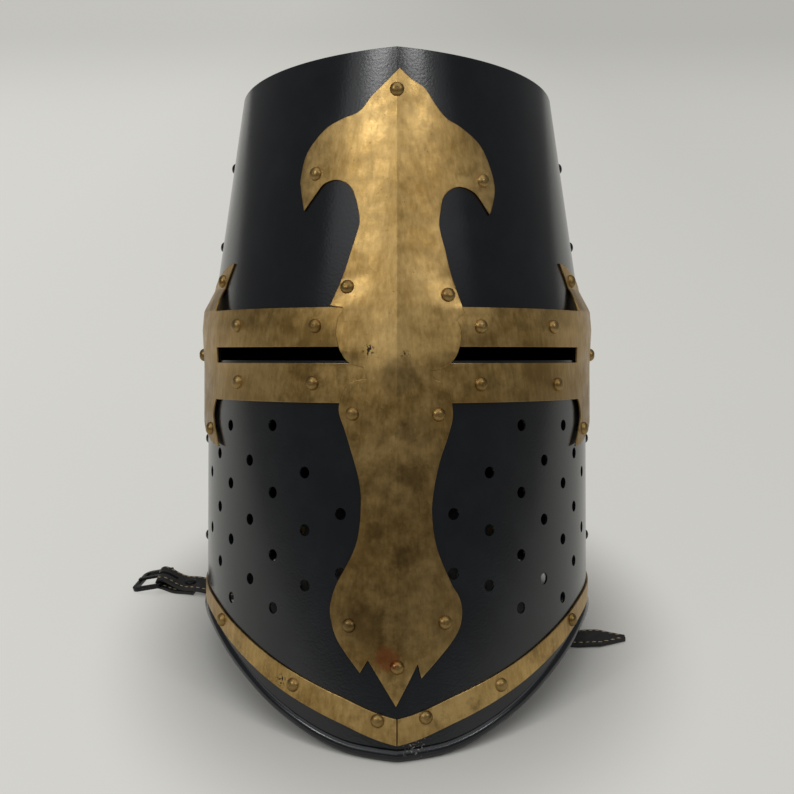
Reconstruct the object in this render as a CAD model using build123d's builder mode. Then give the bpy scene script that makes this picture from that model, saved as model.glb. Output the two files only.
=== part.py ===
from build123d import *
import math
import os

os.makedirs("parts", exist_ok=True)

# Great helm of black steel with a brass cross, in millimetres.
# It stands as it does on a table: leaning back on the front tip of its rim and on the rim's back.
# The row frame has +Z up, the face towards -Y and the mirror plane of the shell at X = 0.
# The helm's own frame has Z along the shell, from the rim's front tip, and Y = 0 at the widest line.

# Sheet and fits
steel_gauge = 1.2
brass_gauge = 1.0
leather_gauge = 2.4
seat = 0.05
running_fit = 0.1
beyond = 60.0
slope_step = 1.0
search_depth = 17.0
drill_length = 36.0

# Plan of the shell at three heights: half width, reach to the front ridge, reach to the back
foot_half_width = 109.0
foot_front_reach = 131.0
foot_back_reach = 135.0
waist_half_width = 107.8
waist_front_reach = 130.0
waist_back_reach = 134.0
crown_half_width = 84.6
crown_front_reach = 117.5
crown_back_reach = 109.0
waist_height = 194.0
skull_height = 158.0
crown_height = waist_height + skull_height
crown_fall_deg = 5.2
side_turn_deg = 45.0

# Where plates lap one another
waist_lap = 14.0
seam_lap = 8.0
seam_step = 2.4
seam_gap = 0.3
crown_flange = 8.0

# Eye slits and breath holes
slit_rise = 6.0
slit_middle = waist_height + slit_rise
steel_slit_drop = 2.8
steel_slit_lift = 3.7
steel_slit_low = slit_middle - steel_slit_drop
steel_slit_high = slit_middle + steel_slit_lift
steel_slit_inner = 25.0
steel_slit_outer = 94.5
breath_radius = 3.0

# Brass eye bars
bar_half_height = 23.7
bar_top = slit_middle + bar_half_height
bar_bottom = slit_middle - bar_half_height
bar_slit_drop = 4.0
bar_slit_lift = 4.1
bar_slit_low = slit_middle - bar_slit_drop
bar_slit_high = slit_middle + bar_slit_lift
bar_slit_inner = 20.0
bar_slit_outer = 95.7
bar_ridge_gap = 5.0
bar_bulge = 0.9
bar_bulge_rise = 14.0
bar_turn_rise = 24.5
bar_rest_rise = 36.0
bar_bulge_height = slit_middle + bar_bulge_rise
bar_turn_height = slit_middle + bar_turn_rise
bar_rest_height = slit_middle + bar_rest_rise
flare_length = 78.0
flare_half_height = 51.0
flare_tip_y = -60.0
flare_corner_y = -56.0
flare_neck = 16.0
flare_tip_share = 0.96
flare_rivet_reach = 33.0
flare_rivet_rise = 40.0
flare_end_rivet = 46.0

# Brass cross plate
cross_ramp = 13.0
cross_over_bar = 0.6

# Rim
roll_radius = 3.2
roll_proud = 1.6
rim_side_height = 57.5
rim_steps = 40
rim_station_shares = (0, 0.06, 0.2, 0.4, 0.64, 0.95, 1.3, 1.64, 2.031)
rim_height_shares = (0, 0.05, 0.285, 0.605, 0.877, 1.0, 1.06, 1.18, 1.36)
band_low_shares = (0.162, 0.308, 0.527, 0.785, 1.015, 1.13, 1.195, 1.315, 1.5)
band_top_shares = (0.39, 0.539, 0.748, 0.988, 1.19, 1.295, 1.365, 1.485, 1.67)

# Rivets
shank_radius = 1.6
brass_head_radius = 3.6
brass_head_height = 2.5
steel_head_radius = 3.2
steel_head_height = 2.4
tail_radius = 2.7
tail_height = 1.1
tail_gap = 0.08
dome_shares = (0.74, 0.72)
ridge_span_px = 4.0
band_bearings = (-55.0, -28.0, 10.0, 45.0, 78.0)
lap_bearings = (25.0, 55.0, 82.0)
liner_bearings = (40.0, 75.0)
upper_seam_rises = (68.0, 113.0)
lower_seam_drop = 42.0

# Lining
head_band_rise = 32.0
head_band_width = 24.0
head_band_low = waist_height + head_band_rise
head_band_top = head_band_low + head_band_width
head_strap_width = 26.0
head_strap_drop = 30.0
head_strap_apex = crown_height - head_strap_drop
head_strap_gauge = 2.0
head_strap_lap = 17.0
brow_ease = 3.9
nape_ease = 1.7
side_ease = 0.9

# Chin straps: where they leave the rim, measured behind the front rest, and how far out they lie
strap_width = 18.0
strap_point_length = 15.0
strap_point_width = 5.0
strap_rivet_height = 96.0
strap_tail = 9.0
strap_tuck = 15.0
strap_floor = 0.4
strap_ease = 0.5
right_strap_out = 131.0
right_strap_back = 125.0
left_strap_back = 186.0
left_strap_skew_deg = 12.0
left_strap_run = 46.0

# Buckle
buckle_bar_radius = 1.3
buckle_bar_height = 6.0
buckle_inner_width = 20.0
buckle_inner_length = 11.5
buckle_thickness = 2.2
buckle_rim_width = 3.2
buckle_heel = 2.4
buckle_heel_round = 1.4
buckle_corner = 5.0
prong_width = 2.6
prong_gauge = 1.4
prong_slot_length = 9.5
fold_length = 22.0
stud_set_back = 17.5
stud_radius = 3.6
stud_height = 0.9
stud_flat_share = 0.7
stud_edge_share = 0.4

# The picture: distance from the eye to the front ridge, picture widths per unit of depth, its centre line and eye level
view_distance = 700.0
seen_above_slit = 152.0
seen_below_slit = 200.0
view_pixels = 1437.0
centre_px = 397.5
level_px = 355.0

# Frame of the helm in its resting pose
rim_front_y = -foot_front_reach + roll_radius - roll_proud
rim_back_y = foot_back_reach - roll_radius + roll_proud
rim_back_height = rim_side_height * rim_height_shares[-1]
rest_span = rim_back_y - rim_front_y
rest_length = math.hypot(rest_span, rim_back_height)
lean = math.atan2(rim_back_height, rest_span)
up = Vector(0, math.sin(lean), math.cos(lean))
aft = Vector(0, math.cos(lean), -math.sin(lean))
helm_origin = Vector(0, -rest_length / 2, roll_radius) - aft * rim_front_y - up * roll_radius
helm = Plane(origin=helm_origin, x_dir=(1, 0, 0), z_dir=up)
front_view = Plane(origin=helm_origin, x_dir=(1, 0, 0), z_dir=-aft)
side_view = Plane(origin=helm_origin, x_dir=aft, z_dir=(1, 0, 0))


def at(x, y, z):
    return helm.from_local_coords(Vector(x, y, z))


def along(x, y, z):
    return Vector(x, 0, 0) + aft * y + up * z


# A skin is a list of levels: height, half width, front reach, back reach, extra growth.
lower_skin = [
    (0.0, foot_half_width, foot_front_reach, foot_back_reach, 0.0),
    (waist_height, waist_half_width, waist_front_reach, waist_back_reach, 0.0),
    (crown_height, crown_half_width, crown_front_reach, crown_back_reach, 0.0),
]


def level_at(skin, height):
    low, high = skin[0], skin[1]
    for below, above in zip(skin, skin[1:]):
        low, high = below, above
        if height <= above[0]:
            break
    share = (height - low[0]) / (high[0] - low[0])
    return tuple(a + (b - a) * share for a, b in zip(low, high))


def arcs_of(level, grow):
    height, half_width, front, back, extra = level
    cos_turn = math.cos(math.radians(side_turn_deg))
    sin_turn = math.sin(math.radians(side_turn_deg))
    front_radius = (half_width**2 + front**2) / (2 * half_width)
    shift = (back - half_width) / (1 - sin_turn - cos_turn)
    side_radius = half_width - shift * cos_turn
    back_radius = back + shift * sin_turn
    wide = grow + extra
    return (
        (half_width - front_radius, 0.0, front_radius + wide),
        (shift * cos_turn, 0.0, side_radius + wide),
        (0.0, -shift * sin_turn, back_radius + wide),
    )


def ridge_bearing(level, grow):
    x, y, radius = arcs_of(level, grow)[0]
    return -math.degrees(math.acos(-x / radius))


def wall_point(level, grow, bearing):
    arcs = arcs_of(level, grow)
    x, y, radius = arcs[0] if bearing < 0 else arcs[1] if bearing < side_turn_deg else arcs[2]
    turn = math.radians(bearing)
    return x + radius * math.cos(turn), y + radius * math.sin(turn)


def plan_arcs(level, grow):
    ridge = ridge_bearing(level, grow)
    stops = (ridge, ridge / 2, 0.0, side_turn_deg / 2, side_turn_deg, (side_turn_deg + 90) / 2, 90.0)
    points = [wall_point(level, grow, stop) for stop in stops]
    points[0] = (0.0, points[0][1])
    points[-1] = (0.0, points[-1][1])
    arcs = []
    for side in (1, -1):
        for start in (0, 2, 4):
            arcs.append([(side * x, y) for x, y in points[start:start + 3]])
    return arcs


def core(skin, grow):
    with BuildPart() as form:
        for level in skin:
            with BuildSketch(helm.offset(level[0])):
                with BuildLine():
                    for start, middle, end in plan_arcs(level, grow):
                        ThreePointArc(start, middle, end)
                make_face()
        loft(ruled=True)
    return form.part


def trimmed(skin, low, high):
    inside = [level for level in skin if low < level[0] < high]
    return [level_at(skin, low)] + inside + [level_at(skin, high)]


def block(x_low, x_high, y_low, y_high, z_low, z_high):
    with BuildPart() as form:
        with BuildSketch(helm.offset(z_low)):
            with Locations(((x_low + x_high) / 2, (y_low + y_high) / 2)):
                Rectangle(x_high - x_low, y_high - y_low)
        extrude(amount=z_high - z_low)
    return form.part


def curve_at(stations, heights, y):
    # smooth curve through a table, with the slope at each station set by its neighbours
    slopes = []
    for i in range(len(stations)):
        a, b = max(i - 1, 0), min(i + 1, len(stations) - 1)
        slopes.append((heights[b] - heights[a]) / (stations[b] - stations[a]))
    i = 0
    while i < len(stations) - 2 and y > stations[i + 1]:
        i += 1
    width = stations[i + 1] - stations[i]
    t = (y - stations[i]) / width
    h00, h10 = 2 * t**3 - 3 * t**2 + 1, t**3 - 2 * t**2 + t
    h01, h11 = -2 * t**3 + 3 * t**2, t**3 - t**2
    return (
        h00 * heights[i] + h10 * width * slopes[i] + h01 * heights[i + 1] + h11 * width * slopes[i + 1]
    )


rim_stations = [share * foot_front_reach - foot_front_reach for share in rim_station_shares]
rim_heights = [share * rim_side_height for share in rim_height_shares]
band_lows = [share * rim_side_height for share in band_low_shares]
band_tops = [share * rim_side_height for share in band_top_shares]


def over_rod(y):
    # height of the rod's top over its middle line, which climbs with the rim
    step = slope_step
    climb = (curve_at(rim_stations, rim_heights, y + step) - curve_at(rim_stations, rim_heights, y - step)) / 2
    ahead, beside, behind = arcs_of(lower_skin[0], 0)
    turn_y = beside[2] * math.sin(math.radians(side_turn_deg))
    cx, cy, radius = ahead if y < 0 else beside if y < turn_y else behind
    across = math.sqrt(max(1 - ((y - cy) / radius) ** 2, 0))
    clear = seat + steel_gauge * max(climb / step, 0) if y > 0 else seat
    return roll_radius + (roll_radius + clear) * math.hypot(1, climb / step * across)


def side_curve(heights, lift):
    steps = 24
    first, last = rim_stations[0], rim_stations[-1]
    places = [first + (last - first) * (i / steps) ** 1.5 for i in range(steps + 1)]
    points = [(y, curve_at(rim_stations, heights, y) + lift(y)) for y in places]
    ahead = (first - beyond, points[0][1])
    behind = (last + beyond, points[-1][1])
    return ahead, points, behind


def on_curve(y):
    return 0.0


def slab_above(heights, lift):
    # everything above a curve drawn in the side view, across the whole width
    ahead, points, behind = side_curve(heights, lift)
    ceiling = crown_height + beyond
    with BuildPart() as form:
        with BuildSketch(side_view):
            with BuildLine():
                Line(ahead, points[0])
                Spline(*points)
                Line(points[-1], behind)
                Polyline(behind, (behind[0], ceiling), (ahead[0], ceiling), ahead)
            make_face()
        extrude(amount=foot_half_width + beyond, both=True)
    return form.part


def seen(point_px):
    # a point of the picture carried to the shell's front, as X and Z of the helm
    behind = 0.0
    for turn in range(6):
        depth = view_distance + behind
        x = (point_px[0] - centre_px) * depth / view_pixels
        rise = (level_px - point_px[1]) * depth / view_pixels
        reach = (crown_height - slit_middle) / seen_above_slit if rise > 0 else slit_middle / seen_below_slit
        z = slit_middle + rise * reach
        level = level_at(lower_skin, z)
        cx, cy, radius = arcs_of(level, steel_gauge)[0]
        y = -math.sqrt(max(radius**2 - (abs(x) - cx) ** 2, 0))
        behind = y + foot_front_reach
    return x, z


def place_at(skin, grow, bearing, height, side):
    # plane on a skin's surface, facing outwards
    step = slope_step
    here = wall_point(level_at(skin, height), grow, bearing)
    above = wall_point(level_at(skin, height + step), grow, bearing)
    turn = math.radians(bearing)
    slope = ((above[0] - here[0]) * math.cos(turn) + (above[1] - here[1]) * math.sin(turn)) / step
    normal = along(side * math.cos(turn), math.sin(turn), -slope)
    return Plane(origin=at(side * here[0], here[1], height), x_dir=along(0, 0, 1).cross(normal), z_dir=normal)


def front_place(skin, grow, x, height):
    # the same, found by its X in the front view
    level = level_at(skin, height)
    cx, cy, radius = arcs_of(level, grow)[0]
    bearing = -math.degrees(math.acos((abs(x) - cx) / radius))
    return place_at(skin, grow, bearing, height, 1 if x > 0 else -1)


def side_place(skin, grow, y, height, side):
    # the same, found by its Y in the side view
    level = level_at(skin, height)
    cx, cy, radius = arcs_of(level, grow)[0 if y < 0 else 1]
    return place_at(skin, grow, math.degrees(math.asin(y / radius)), height, side)


def ridge_place(skin, grow, height):
    step = slope_step
    here = wall_point(level_at(skin, height), grow, ridge_bearing(level_at(skin, height), grow))
    above = wall_point(level_at(skin, height + step), grow, ridge_bearing(level_at(skin, height + step), grow))
    normal = along(0, -1, (above[1] - here[1]) / -step * -1)
    return Plane(origin=at(0, here[1], height), x_dir=(1, 0, 0), z_dir=normal)


def depth_from(start, inward, skin, grow):
    # distance from a point to another skin's surface
    low, high = 0.0, search_depth
    for turn in range(30):
        middle = (low + high) / 2
        x, y, z = helm.to_local_coords(start + inward * middle)
        arcs = arcs_of(level_at(skin, z), grow)
        cx, cy, radius = arcs[0] if y < 0 else arcs[1] if abs(x) > abs(y) else arcs[2]
        if math.hypot(abs(x) - cx, y - cy) > radius:
            low = middle
        else:
            high = middle
    return high


def depth_to(place, skin, grow):
    # the greatest distance under a rivet's flat tail
    depths = [depth_from(place.origin, place.z_dir * -1, skin, grow)]
    for turn in range(8):
        x = tail_radius * math.cos(math.radians(turn * 45))
        y = tail_radius * math.sin(math.radians(turn * 45))
        start = place.origin + place.x_dir * x + place.y_dir * y
        depths.append(depth_from(start, place.z_dir * -1, skin, grow))
    return max(depths)


def rivet(head_radius, head_height, grip, gap):
    # domed head outside, shank through the sheets, flat set tail inside
    end = -grip - gap
    dome = (head_radius * dome_shares[0], head_height * dome_shares[1])
    with BuildPart() as form:
        with BuildSketch(Plane.XZ):
            with BuildLine():
                ThreePointArc((0, head_height), dome, (head_radius, 0))
                Polyline(
                    (head_radius, 0),
                    (shank_radius, 0),
                    (shank_radius, end),
                    (tail_radius, end),
                    (tail_radius, end - tail_height),
                    (0, end - tail_height),
                    (0, head_height),
                )
            make_face()
        revolve(axis=Axis.Z)
    return form.part


def drill(radius):
    with BuildPart() as form:
        Cylinder(radius, drill_length)
    return form.part


# Skins
skull_skin = [
    level_at(lower_skin, waist_height - waist_lap),
    level_at(lower_skin, waist_height),
    level_at(lower_skin, crown_height),
]
waist_level = level_at(lower_skin, waist_height)


def upright(height, bulge):
    return (height,) + waist_level[1:4] + (bulge,)


bar_skin = [
    level_at(lower_skin, slit_middle - flare_half_height - flare_neck),
    waist_level,
    upright(bar_bulge_height, bar_bulge),
    upright(bar_turn_height, 0.0),
    level_at(lower_skin, bar_rest_height),
    level_at(lower_skin, slit_middle + flare_half_height + flare_neck),
]
bar_inner = steel_gauge + seat
bar_outer = bar_inner + brass_gauge
over_bar = bar_outer + seat
bar_edge_top = bar_top + cross_over_bar
bar_edge_low = bar_bottom - cross_over_bar


def with_extra(level, extra):
    return level[:4] + (extra,)


cross_skin = [
    with_extra(level_at(lower_skin, 0.0), seat),
    with_extra(level_at(lower_skin, bar_edge_low - cross_ramp), seat),
    with_extra(level_at(lower_skin, bar_edge_low), over_bar),
    with_extra(waist_level, over_bar),
    upright(bar_bulge_height, over_bar + bar_bulge),
    upright(bar_edge_top, over_bar),
    with_extra(level_at(lower_skin, bar_edge_top + cross_ramp), bar_inner),
    with_extra(level_at(lower_skin, crown_height), bar_inner),
]

# Tools that cut the skins into plates
far = foot_back_reach + beyond
wide = foot_half_width + beyond
tall = crown_height + beyond
front_of_seam = block(-wide, wide, -far, seam_lap, -beyond, tall)
behind_seam = block(-wide, wide, seam_lap + seam_gap, far, -beyond, tall)

crown_plane = Plane(
    origin=at(0, -crown_front_reach - steel_gauge, crown_height),
    x_dir=(1, 0, 0),
    z_dir=along(0, math.sin(math.radians(crown_fall_deg)), math.cos(math.radians(crown_fall_deg))),
)


def above_crown(drop):
    with BuildPart() as form:
        with BuildSketch(crown_plane.offset(-drop)):
            Rectangle(3 * far, 3 * far)
        extrude(amount=crown_flange + beyond)
    return form.part


over_crown = above_crown(0.0)
above_rim = slab_above(rim_heights, over_rod)
tab_top = above_crown(crown_flange + steel_gauge + seam_gap)

# Rivet places
cross_rivet_px = (
    (400, 91), (317, 175), (483, 182), (348, 287), (448.6, 295),
    (353, 413.7), (439, 414.6), (349, 627), (446, 624), (395.6, 669.6),
)
bar_rivet_px = (
    (239, 326), (316, 326), (481, 326.4), (552.5, 327),
    (238.5, 382), (313, 383), (481.4, 384), (558, 384.4),
)
band_rivet_px = ((377.7, 723.5), (426.6, 720))

cross_places = []
for px in cross_rivet_px:
    x, z = seen(px)
    if abs(px[0] - centre_px) < ridge_span_px:
        cross_places.append(ridge_place(cross_skin, brass_gauge, z))
    else:
        cross_places.append(front_place(cross_skin, brass_gauge, x, z))
bar_places = []
for px in bar_rivet_px:
    x, z = seen(px)
    bar_places.append(front_place(bar_skin, bar_outer, x, z))

flare_places = []
for side in (-1, 1):
    for rise in (-flare_rivet_rise, flare_rivet_rise):
        y = flare_tip_y + flare_end_rivet - flare_rivet_reach
        flare_places.append(side_place(bar_skin, bar_outer, y, slit_middle + rise, side))
    flare_places.append(side_place(bar_skin, bar_outer, flare_tip_y + flare_end_rivet, slit_middle, side))

band_layer = seat + brass_gauge


def band_middle(y):
    return (curve_at(rim_stations, band_lows, y) + curve_at(rim_stations, band_tops, y)) / 2


band_places = []
for px in band_rivet_px:
    x, z = seen(px)
    band_places.append(front_place(lower_skin, band_layer, x, z))
for side in (-1, 1):
    for bearing in band_bearings:
        y = wall_point(lower_skin[0], band_layer, bearing)[1]
        band_places.append(place_at(lower_skin, band_layer, bearing, band_middle(y), side))

upper_seam_places = []
lower_seam_places = []
strap_places = []
for side in (-1, 1):
    for rise in upper_seam_rises:
        upper_seam_places.append(side_place(lower_skin, steel_gauge, 0, waist_height + rise, side))
    lower_seam_places.append(side_place(lower_skin, 0, 0, waist_height - lower_seam_drop, side))
    strap_places.append(side_place(lower_skin, 0, 0, strap_rivet_height, side))

lap_places = []
liner_places = []
for side in (-1, 1):
    for bearing in lap_bearings:
        middle = waist_height - waist_lap / 2
        lap_places.append(place_at(lower_skin, steel_gauge, bearing, middle, side))
    for bearing in liner_bearings:
        middle = (head_band_low + head_band_top) / 2
        liner_places.append(place_at(lower_skin, steel_gauge, bearing, middle, side))

hole = drill(shank_radius + running_fit)
all_places = (
    cross_places + bar_places + flare_places + band_places + upper_seam_places
    + lower_seam_places + strap_places + lap_places + liner_places
)


def drilled(places):
    return [hole.moved(place.location) for place in places]


def near(places, low, high):
    return [place for place in places if low < helm.to_local_coords(place.origin).Z < high]


# Breath holes: columns by their distance from the ridge line in the picture, rows by their height in it
breath_columns_px = {
    57: (514.7, 575),
    93: (473, 531, 587),
    125: (425.5, 493, 556, 609.5),
    148: (460.5, 520, 580),
    167: (425.4, 483.5, 540, 599),
    178: (453.4, 507, 562),
    186: (472, 528),
}
breath = drill(breath_radius)
breath_places = []
for column_px, rows_px in breath_columns_px.items():
    for row_px in rows_px:
        for side in (-1, 1):
            x, z = seen((centre_px + side * column_px, row_px))
            breath_places.append(front_place(lower_skin, 0, x, z))

# Eye slits, cut straight through from the front
def slit_cut(inner, outer, low, high):
    with BuildPart() as form:
        with BuildSketch(front_view):
            for side in (-1, 1):
                with Locations((side * (inner + outer) / 2, (low + high) / 2)):
                    Rectangle(outer - inner, high - low)
        extrude(amount=far)
    return form.part


steel_slits = slit_cut(steel_slit_inner, steel_slit_outer, steel_slit_low, steel_slit_high)
bar_slits = slit_cut(bar_slit_inner, bar_slit_outer, bar_slit_low, bar_slit_high)

skull_core = core(trimmed(lower_skin, waist_height - waist_lap, crown_height + crown_flange), 0.0)
skull_outside = core(trimmed(lower_skin, waist_height - waist_lap, crown_height + crown_flange), steel_gauge)
skull_inside = core(trimmed(lower_skin, waist_height - waist_lap, crown_height + crown_flange), -steel_gauge)

with BuildPart() as skull_front_plate:
    add(skull_outside)
    add(skull_core, mode=Mode.SUBTRACT)
    add(front_of_seam, mode=Mode.INTERSECT)
    add(over_crown, mode=Mode.SUBTRACT)
    add(steel_slits, mode=Mode.SUBTRACT)
    add(drilled(near(all_places, waist_height - waist_lap, crown_height)), mode=Mode.SUBTRACT)
skull_front_plate.part.label = "skull_front_plate"
export_step(skull_front_plate.part, "parts/skull_front_plate.step")

# The back plate runs flush with the front one and steps in under it at the seams.
skull_tab = block(-wide, wide, -seam_lap, seam_lap + seam_step, steel_slit_high + seam_gap, tall)
with BuildPart() as skull_back_plate:
    add(skull_outside)
    add(skull_core, mode=Mode.SUBTRACT)
    add(behind_seam, mode=Mode.INTERSECT)
with BuildPart() as skull_back_tab:
    add(skull_core)
    add(skull_inside, mode=Mode.SUBTRACT)
    add(skull_tab, mode=Mode.INTERSECT)
    add(tab_top, mode=Mode.SUBTRACT)
with skull_back_plate:
    add(skull_back_tab.part)
    add(over_crown, mode=Mode.SUBTRACT)
    add(drilled(near(all_places, waist_height - waist_lap, crown_height)), mode=Mode.SUBTRACT)
skull_back_plate.part.label = "skull_back_plate"
export_step(skull_back_plate.part, "parts/skull_back_plate.step")

# Crown: a flat plate let in flush with the top edge, its flange turned down inside the wall
with BuildPart() as crown_plate:
    add(core(trimmed(lower_skin, waist_height, crown_height + crown_flange), -seat))
    add(above_crown(crown_flange), mode=Mode.INTERSECT)
    add(over_crown, mode=Mode.SUBTRACT)
with BuildPart() as crown_hollow:
    add(core(trimmed(lower_skin, waist_height, crown_height + crown_flange), -seat - steel_gauge))
    add(above_crown(steel_gauge), mode=Mode.SUBTRACT)
with crown_plate:
    add(crown_hollow.part, mode=Mode.SUBTRACT)
crown_plate.part.label = "crown_plate"
export_step(crown_plate.part, "parts/crown_plate.step")

# Rim: a rod under the plates' lower edge, in two halves that meet at the ridge and at the back
rim_offset = roll_proud - roll_radius


def rim_middle(bearing):
    y = wall_point(lower_skin[0], 0, bearing)[1]
    height = curve_at(rim_stations, rim_heights, y) + roll_radius
    x, y = wall_point(level_at(lower_skin, height), rim_offset, bearing)
    return at(x, y, height)


rim_tip = at(0, rim_front_y, roll_radius)
rim_back = at(0, rim_back_y, rim_back_height + roll_radius)
rim_ridge = ridge_bearing(lower_skin[0], 0)
rim_bearings = [rim_ridge + (90 - rim_ridge) * step / rim_steps for step in range(1, rim_steps)]
rim_points = [rim_tip] + [rim_middle(bearing) for bearing in rim_bearings] + [rim_back]

with BuildPart() as rim_rod_right:
    for i, point in enumerate(rim_points):
        if i in (0, rim_steps):
            tangent = Vector(1 if i == 0 else -1, 0, 0)
        else:
            tangent = (rim_points[i + 1] - rim_points[i - 1]).normalized()
        with BuildSketch(Plane(origin=point, x_dir=up - tangent * up.dot(tangent), z_dir=tangent)):
            Circle(roll_radius)
    loft(ruled=True)
rim_rod_right.part.label = "rim_rod_right"
export_step(rim_rod_right.part, "parts/rim_rod_right.step")

with BuildPart() as rim_rod_left:
    add(rim_rod_right.part.mirror(Plane.YZ))
rim_rod_left.part.label = "rim_rod_left"
export_step(rim_rod_left.part, "parts/rim_rod_left.step")

lower_levels = trimmed(lower_skin, -beyond, waist_height - seam_gap)
lower_core = core(lower_levels, -steel_gauge)
lower_outside = core(lower_levels, 0.0)
lower_inside = core(lower_levels, -2 * steel_gauge)
with BuildPart() as face_plate:
    add(lower_outside)
    add(lower_core, mode=Mode.SUBTRACT)
    add(above_rim, mode=Mode.INTERSECT)
    add(front_of_seam, mode=Mode.INTERSECT)
    add(drilled(near(all_places, 0, waist_height)), mode=Mode.SUBTRACT)
    add([breath.moved(place.location) for place in breath_places], mode=Mode.SUBTRACT)
face_plate.part.label = "face_plate"
export_step(face_plate.part, "parts/face_plate.step")

lower_tab = block(-wide, wide, -seam_lap, seam_lap + seam_step, 0, waist_height)
with BuildPart() as nape_tab:
    add(lower_core)
    add(lower_inside, mode=Mode.SUBTRACT)
    add(lower_tab, mode=Mode.INTERSECT)
    add(above_rim, mode=Mode.INTERSECT)
with BuildPart() as nape_plate:
    add(lower_outside)
    add(lower_core, mode=Mode.SUBTRACT)
    add(above_rim, mode=Mode.INTERSECT)
    add(behind_seam, mode=Mode.INTERSECT)
    add(nape_tab.part)
    add(drilled(near(all_places, 0, waist_height)), mode=Mode.SUBTRACT)
nape_plate.part.label = "nape_plate"
export_step(nape_plate.part, "parts/nape_plate.step")

# Cross plate: one sheet folded on the ridge, beaten out over the eye bars
right_runs_px = (
    ((400.4, 70), (412, 81), (425, 90), (437, 108), (447, 120), (461, 129), (477, 143),
     (486, 158), (493, 179), (494.6, 195), (490, 216)),
    ((490, 216), (479, 199), (472, 192), (461, 188), (451, 190.5), (444, 198), (441, 211),
     (440, 228), (446, 252), (451, 273), (458, 294), (465, 314)),
    ((465, 314), (456.7, 319)),
    ((456.7, 319), (461, 329), (461, 341), (457, 355), (450, 364), (440, 369), (431, 370)),
    ((431, 370), (436, 380)),
    ((436, 380), (442, 382), (447, 387), (451, 397), (453, 407), (453, 420), (448, 439),
     (441, 460), (436, 482), (433, 504), (433, 518), (435, 536), (440, 556), (452, 584),
     (460, 598), (463, 612), (461, 628), (453, 643), (439, 661), (422, 680.6)),
    ((422, 680.6), (418.4, 666)),
    ((418.4, 666), (408, 687), (396.4, 709.4)),
)
left_runs_px = (
    ((396.4, 709.4), (383, 687), (368, 662)),
    ((368, 662), (360, 675)),
    ((360, 675), (347, 657), (337, 641), (332, 626), (330, 611), (332, 598), (338, 582),
     (351, 558), (357, 542), (360, 525), (361, 509), (361, 493), (358, 475), (352.5, 455),
     (345, 430), (340, 415), (339.5, 405), (343, 392), (349, 384), (356, 380)),
    ((356, 380), (367, 379)),
    ((367, 379), (364, 367)),
    ((364, 367), (352.7, 364), (345.5, 358.6), (340, 349), (337, 337), (337, 329), (339, 318),
     (345.5, 308)),
    ((345.5, 308), (331, 306)),
    ((331, 306), (339, 287), (346, 269), (352, 250), (359, 228), (360, 219), (358, 206),
     (353, 190.5), (346, 183.5), (336, 181), (325, 185), (317, 195), (305, 212)),
    ((305, 212), (302, 190), (302, 179), (308, 155), (325, 132), (342, 121), (360, 113),
     (372, 98), (386, 84), (400.4, 70)),
)
with BuildPart() as cross_outline:
    with BuildSketch(front_view):
        with BuildLine():
            for run in right_runs_px + left_runs_px:
                points = [seen(px) for px in run]
                if len(points) == 2:
                    Line(points[0], points[1])
                else:
                    Spline(*points)
        make_face()
    extrude(amount=far)
with BuildPart() as cross_plate:
    add(core(trimmed(cross_skin, roll_radius, crown_height), brass_gauge))
    add(core(trimmed(cross_skin, roll_radius, crown_height), 0.0), mode=Mode.SUBTRACT)
    add(cross_outline.part, mode=Mode.INTERSECT)
    add(drilled(cross_places), mode=Mode.SUBTRACT)
cross_plate.part.label = "cross_plate"
export_step(cross_plate.part, "parts/cross_plate.step")

# Eye bars: the outline of one arm in the side view, from the ridge to its hooked flare
hook_shares = ((0.1, 0.94), (0.19, 0.9), (0.32, 0.83), (0.49, 0.745), (0.67, 0.61), (0.83, 0.41), (0.94, 0.2))
hollow_shares = ((0.04, 0.86), (0.085, 0.75), (0.103, 0.65), (0.09, 0.55))
bar_low_reach = slit_middle - bar_bottom
bar_high_reach = bar_top - slit_middle


def arm_outline(side):
    run = -foot_front_reach - beyond
    neck = flare_corner_y
    with BuildPart() as form:
        with BuildSketch(side_view):
            with BuildLine():
                ends = []
                for sign, reach in ((1, bar_high_reach), (-1, bar_low_reach)):
                    tip = (flare_tip_y, slit_middle + sign * flare_half_height * flare_tip_share)
                    end = (flare_tip_y + flare_length, slit_middle)
                    hook = [
                        (flare_tip_y + a * flare_length, slit_middle + sign * b * flare_half_height)
                        for a, b in hook_shares
                    ]
                    hollow = [
                        (flare_tip_y + a * flare_length, slit_middle + sign * b * flare_half_height)
                        for a, b in hollow_shares
                    ]
                    corner = (neck, slit_middle + sign * reach)
                    ahead = (run, slit_middle + sign * reach)
                    Line(ahead, corner)
                    Spline(*([corner] + hollow[::-1] + [tip]))
                    Spline(*([tip] + hook + [end]))
                    ends.append(ahead)
                Line(ends[0], ends[1])
            make_face()
        extrude(amount=side * (foot_half_width + beyond))
    return form.part


def eye_bar(side):
    with BuildPart() as form:
        add(core(bar_skin, bar_outer))
        add(core(bar_skin, bar_inner), mode=Mode.SUBTRACT)
        add(arm_outline(side), mode=Mode.INTERSECT)
        add(bar_slits, mode=Mode.SUBTRACT)
        add(block(-bar_ridge_gap, bar_ridge_gap, -far, 0, 0, tall), mode=Mode.SUBTRACT)
        add(drilled(bar_places + flare_places + cross_places), mode=Mode.SUBTRACT)
    return form.part


with BuildPart() as eye_bar_right:
    add(eye_bar(1))
eye_bar_right.part.label = "eye_bar_right"
export_step(eye_bar_right.part, "parts/eye_bar_right.step")

with BuildPart() as eye_bar_left:
    add(eye_bar(-1))
eye_bar_left.part.label = "eye_bar_left"
export_step(eye_bar_left.part, "parts/eye_bar_left.step")

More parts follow.
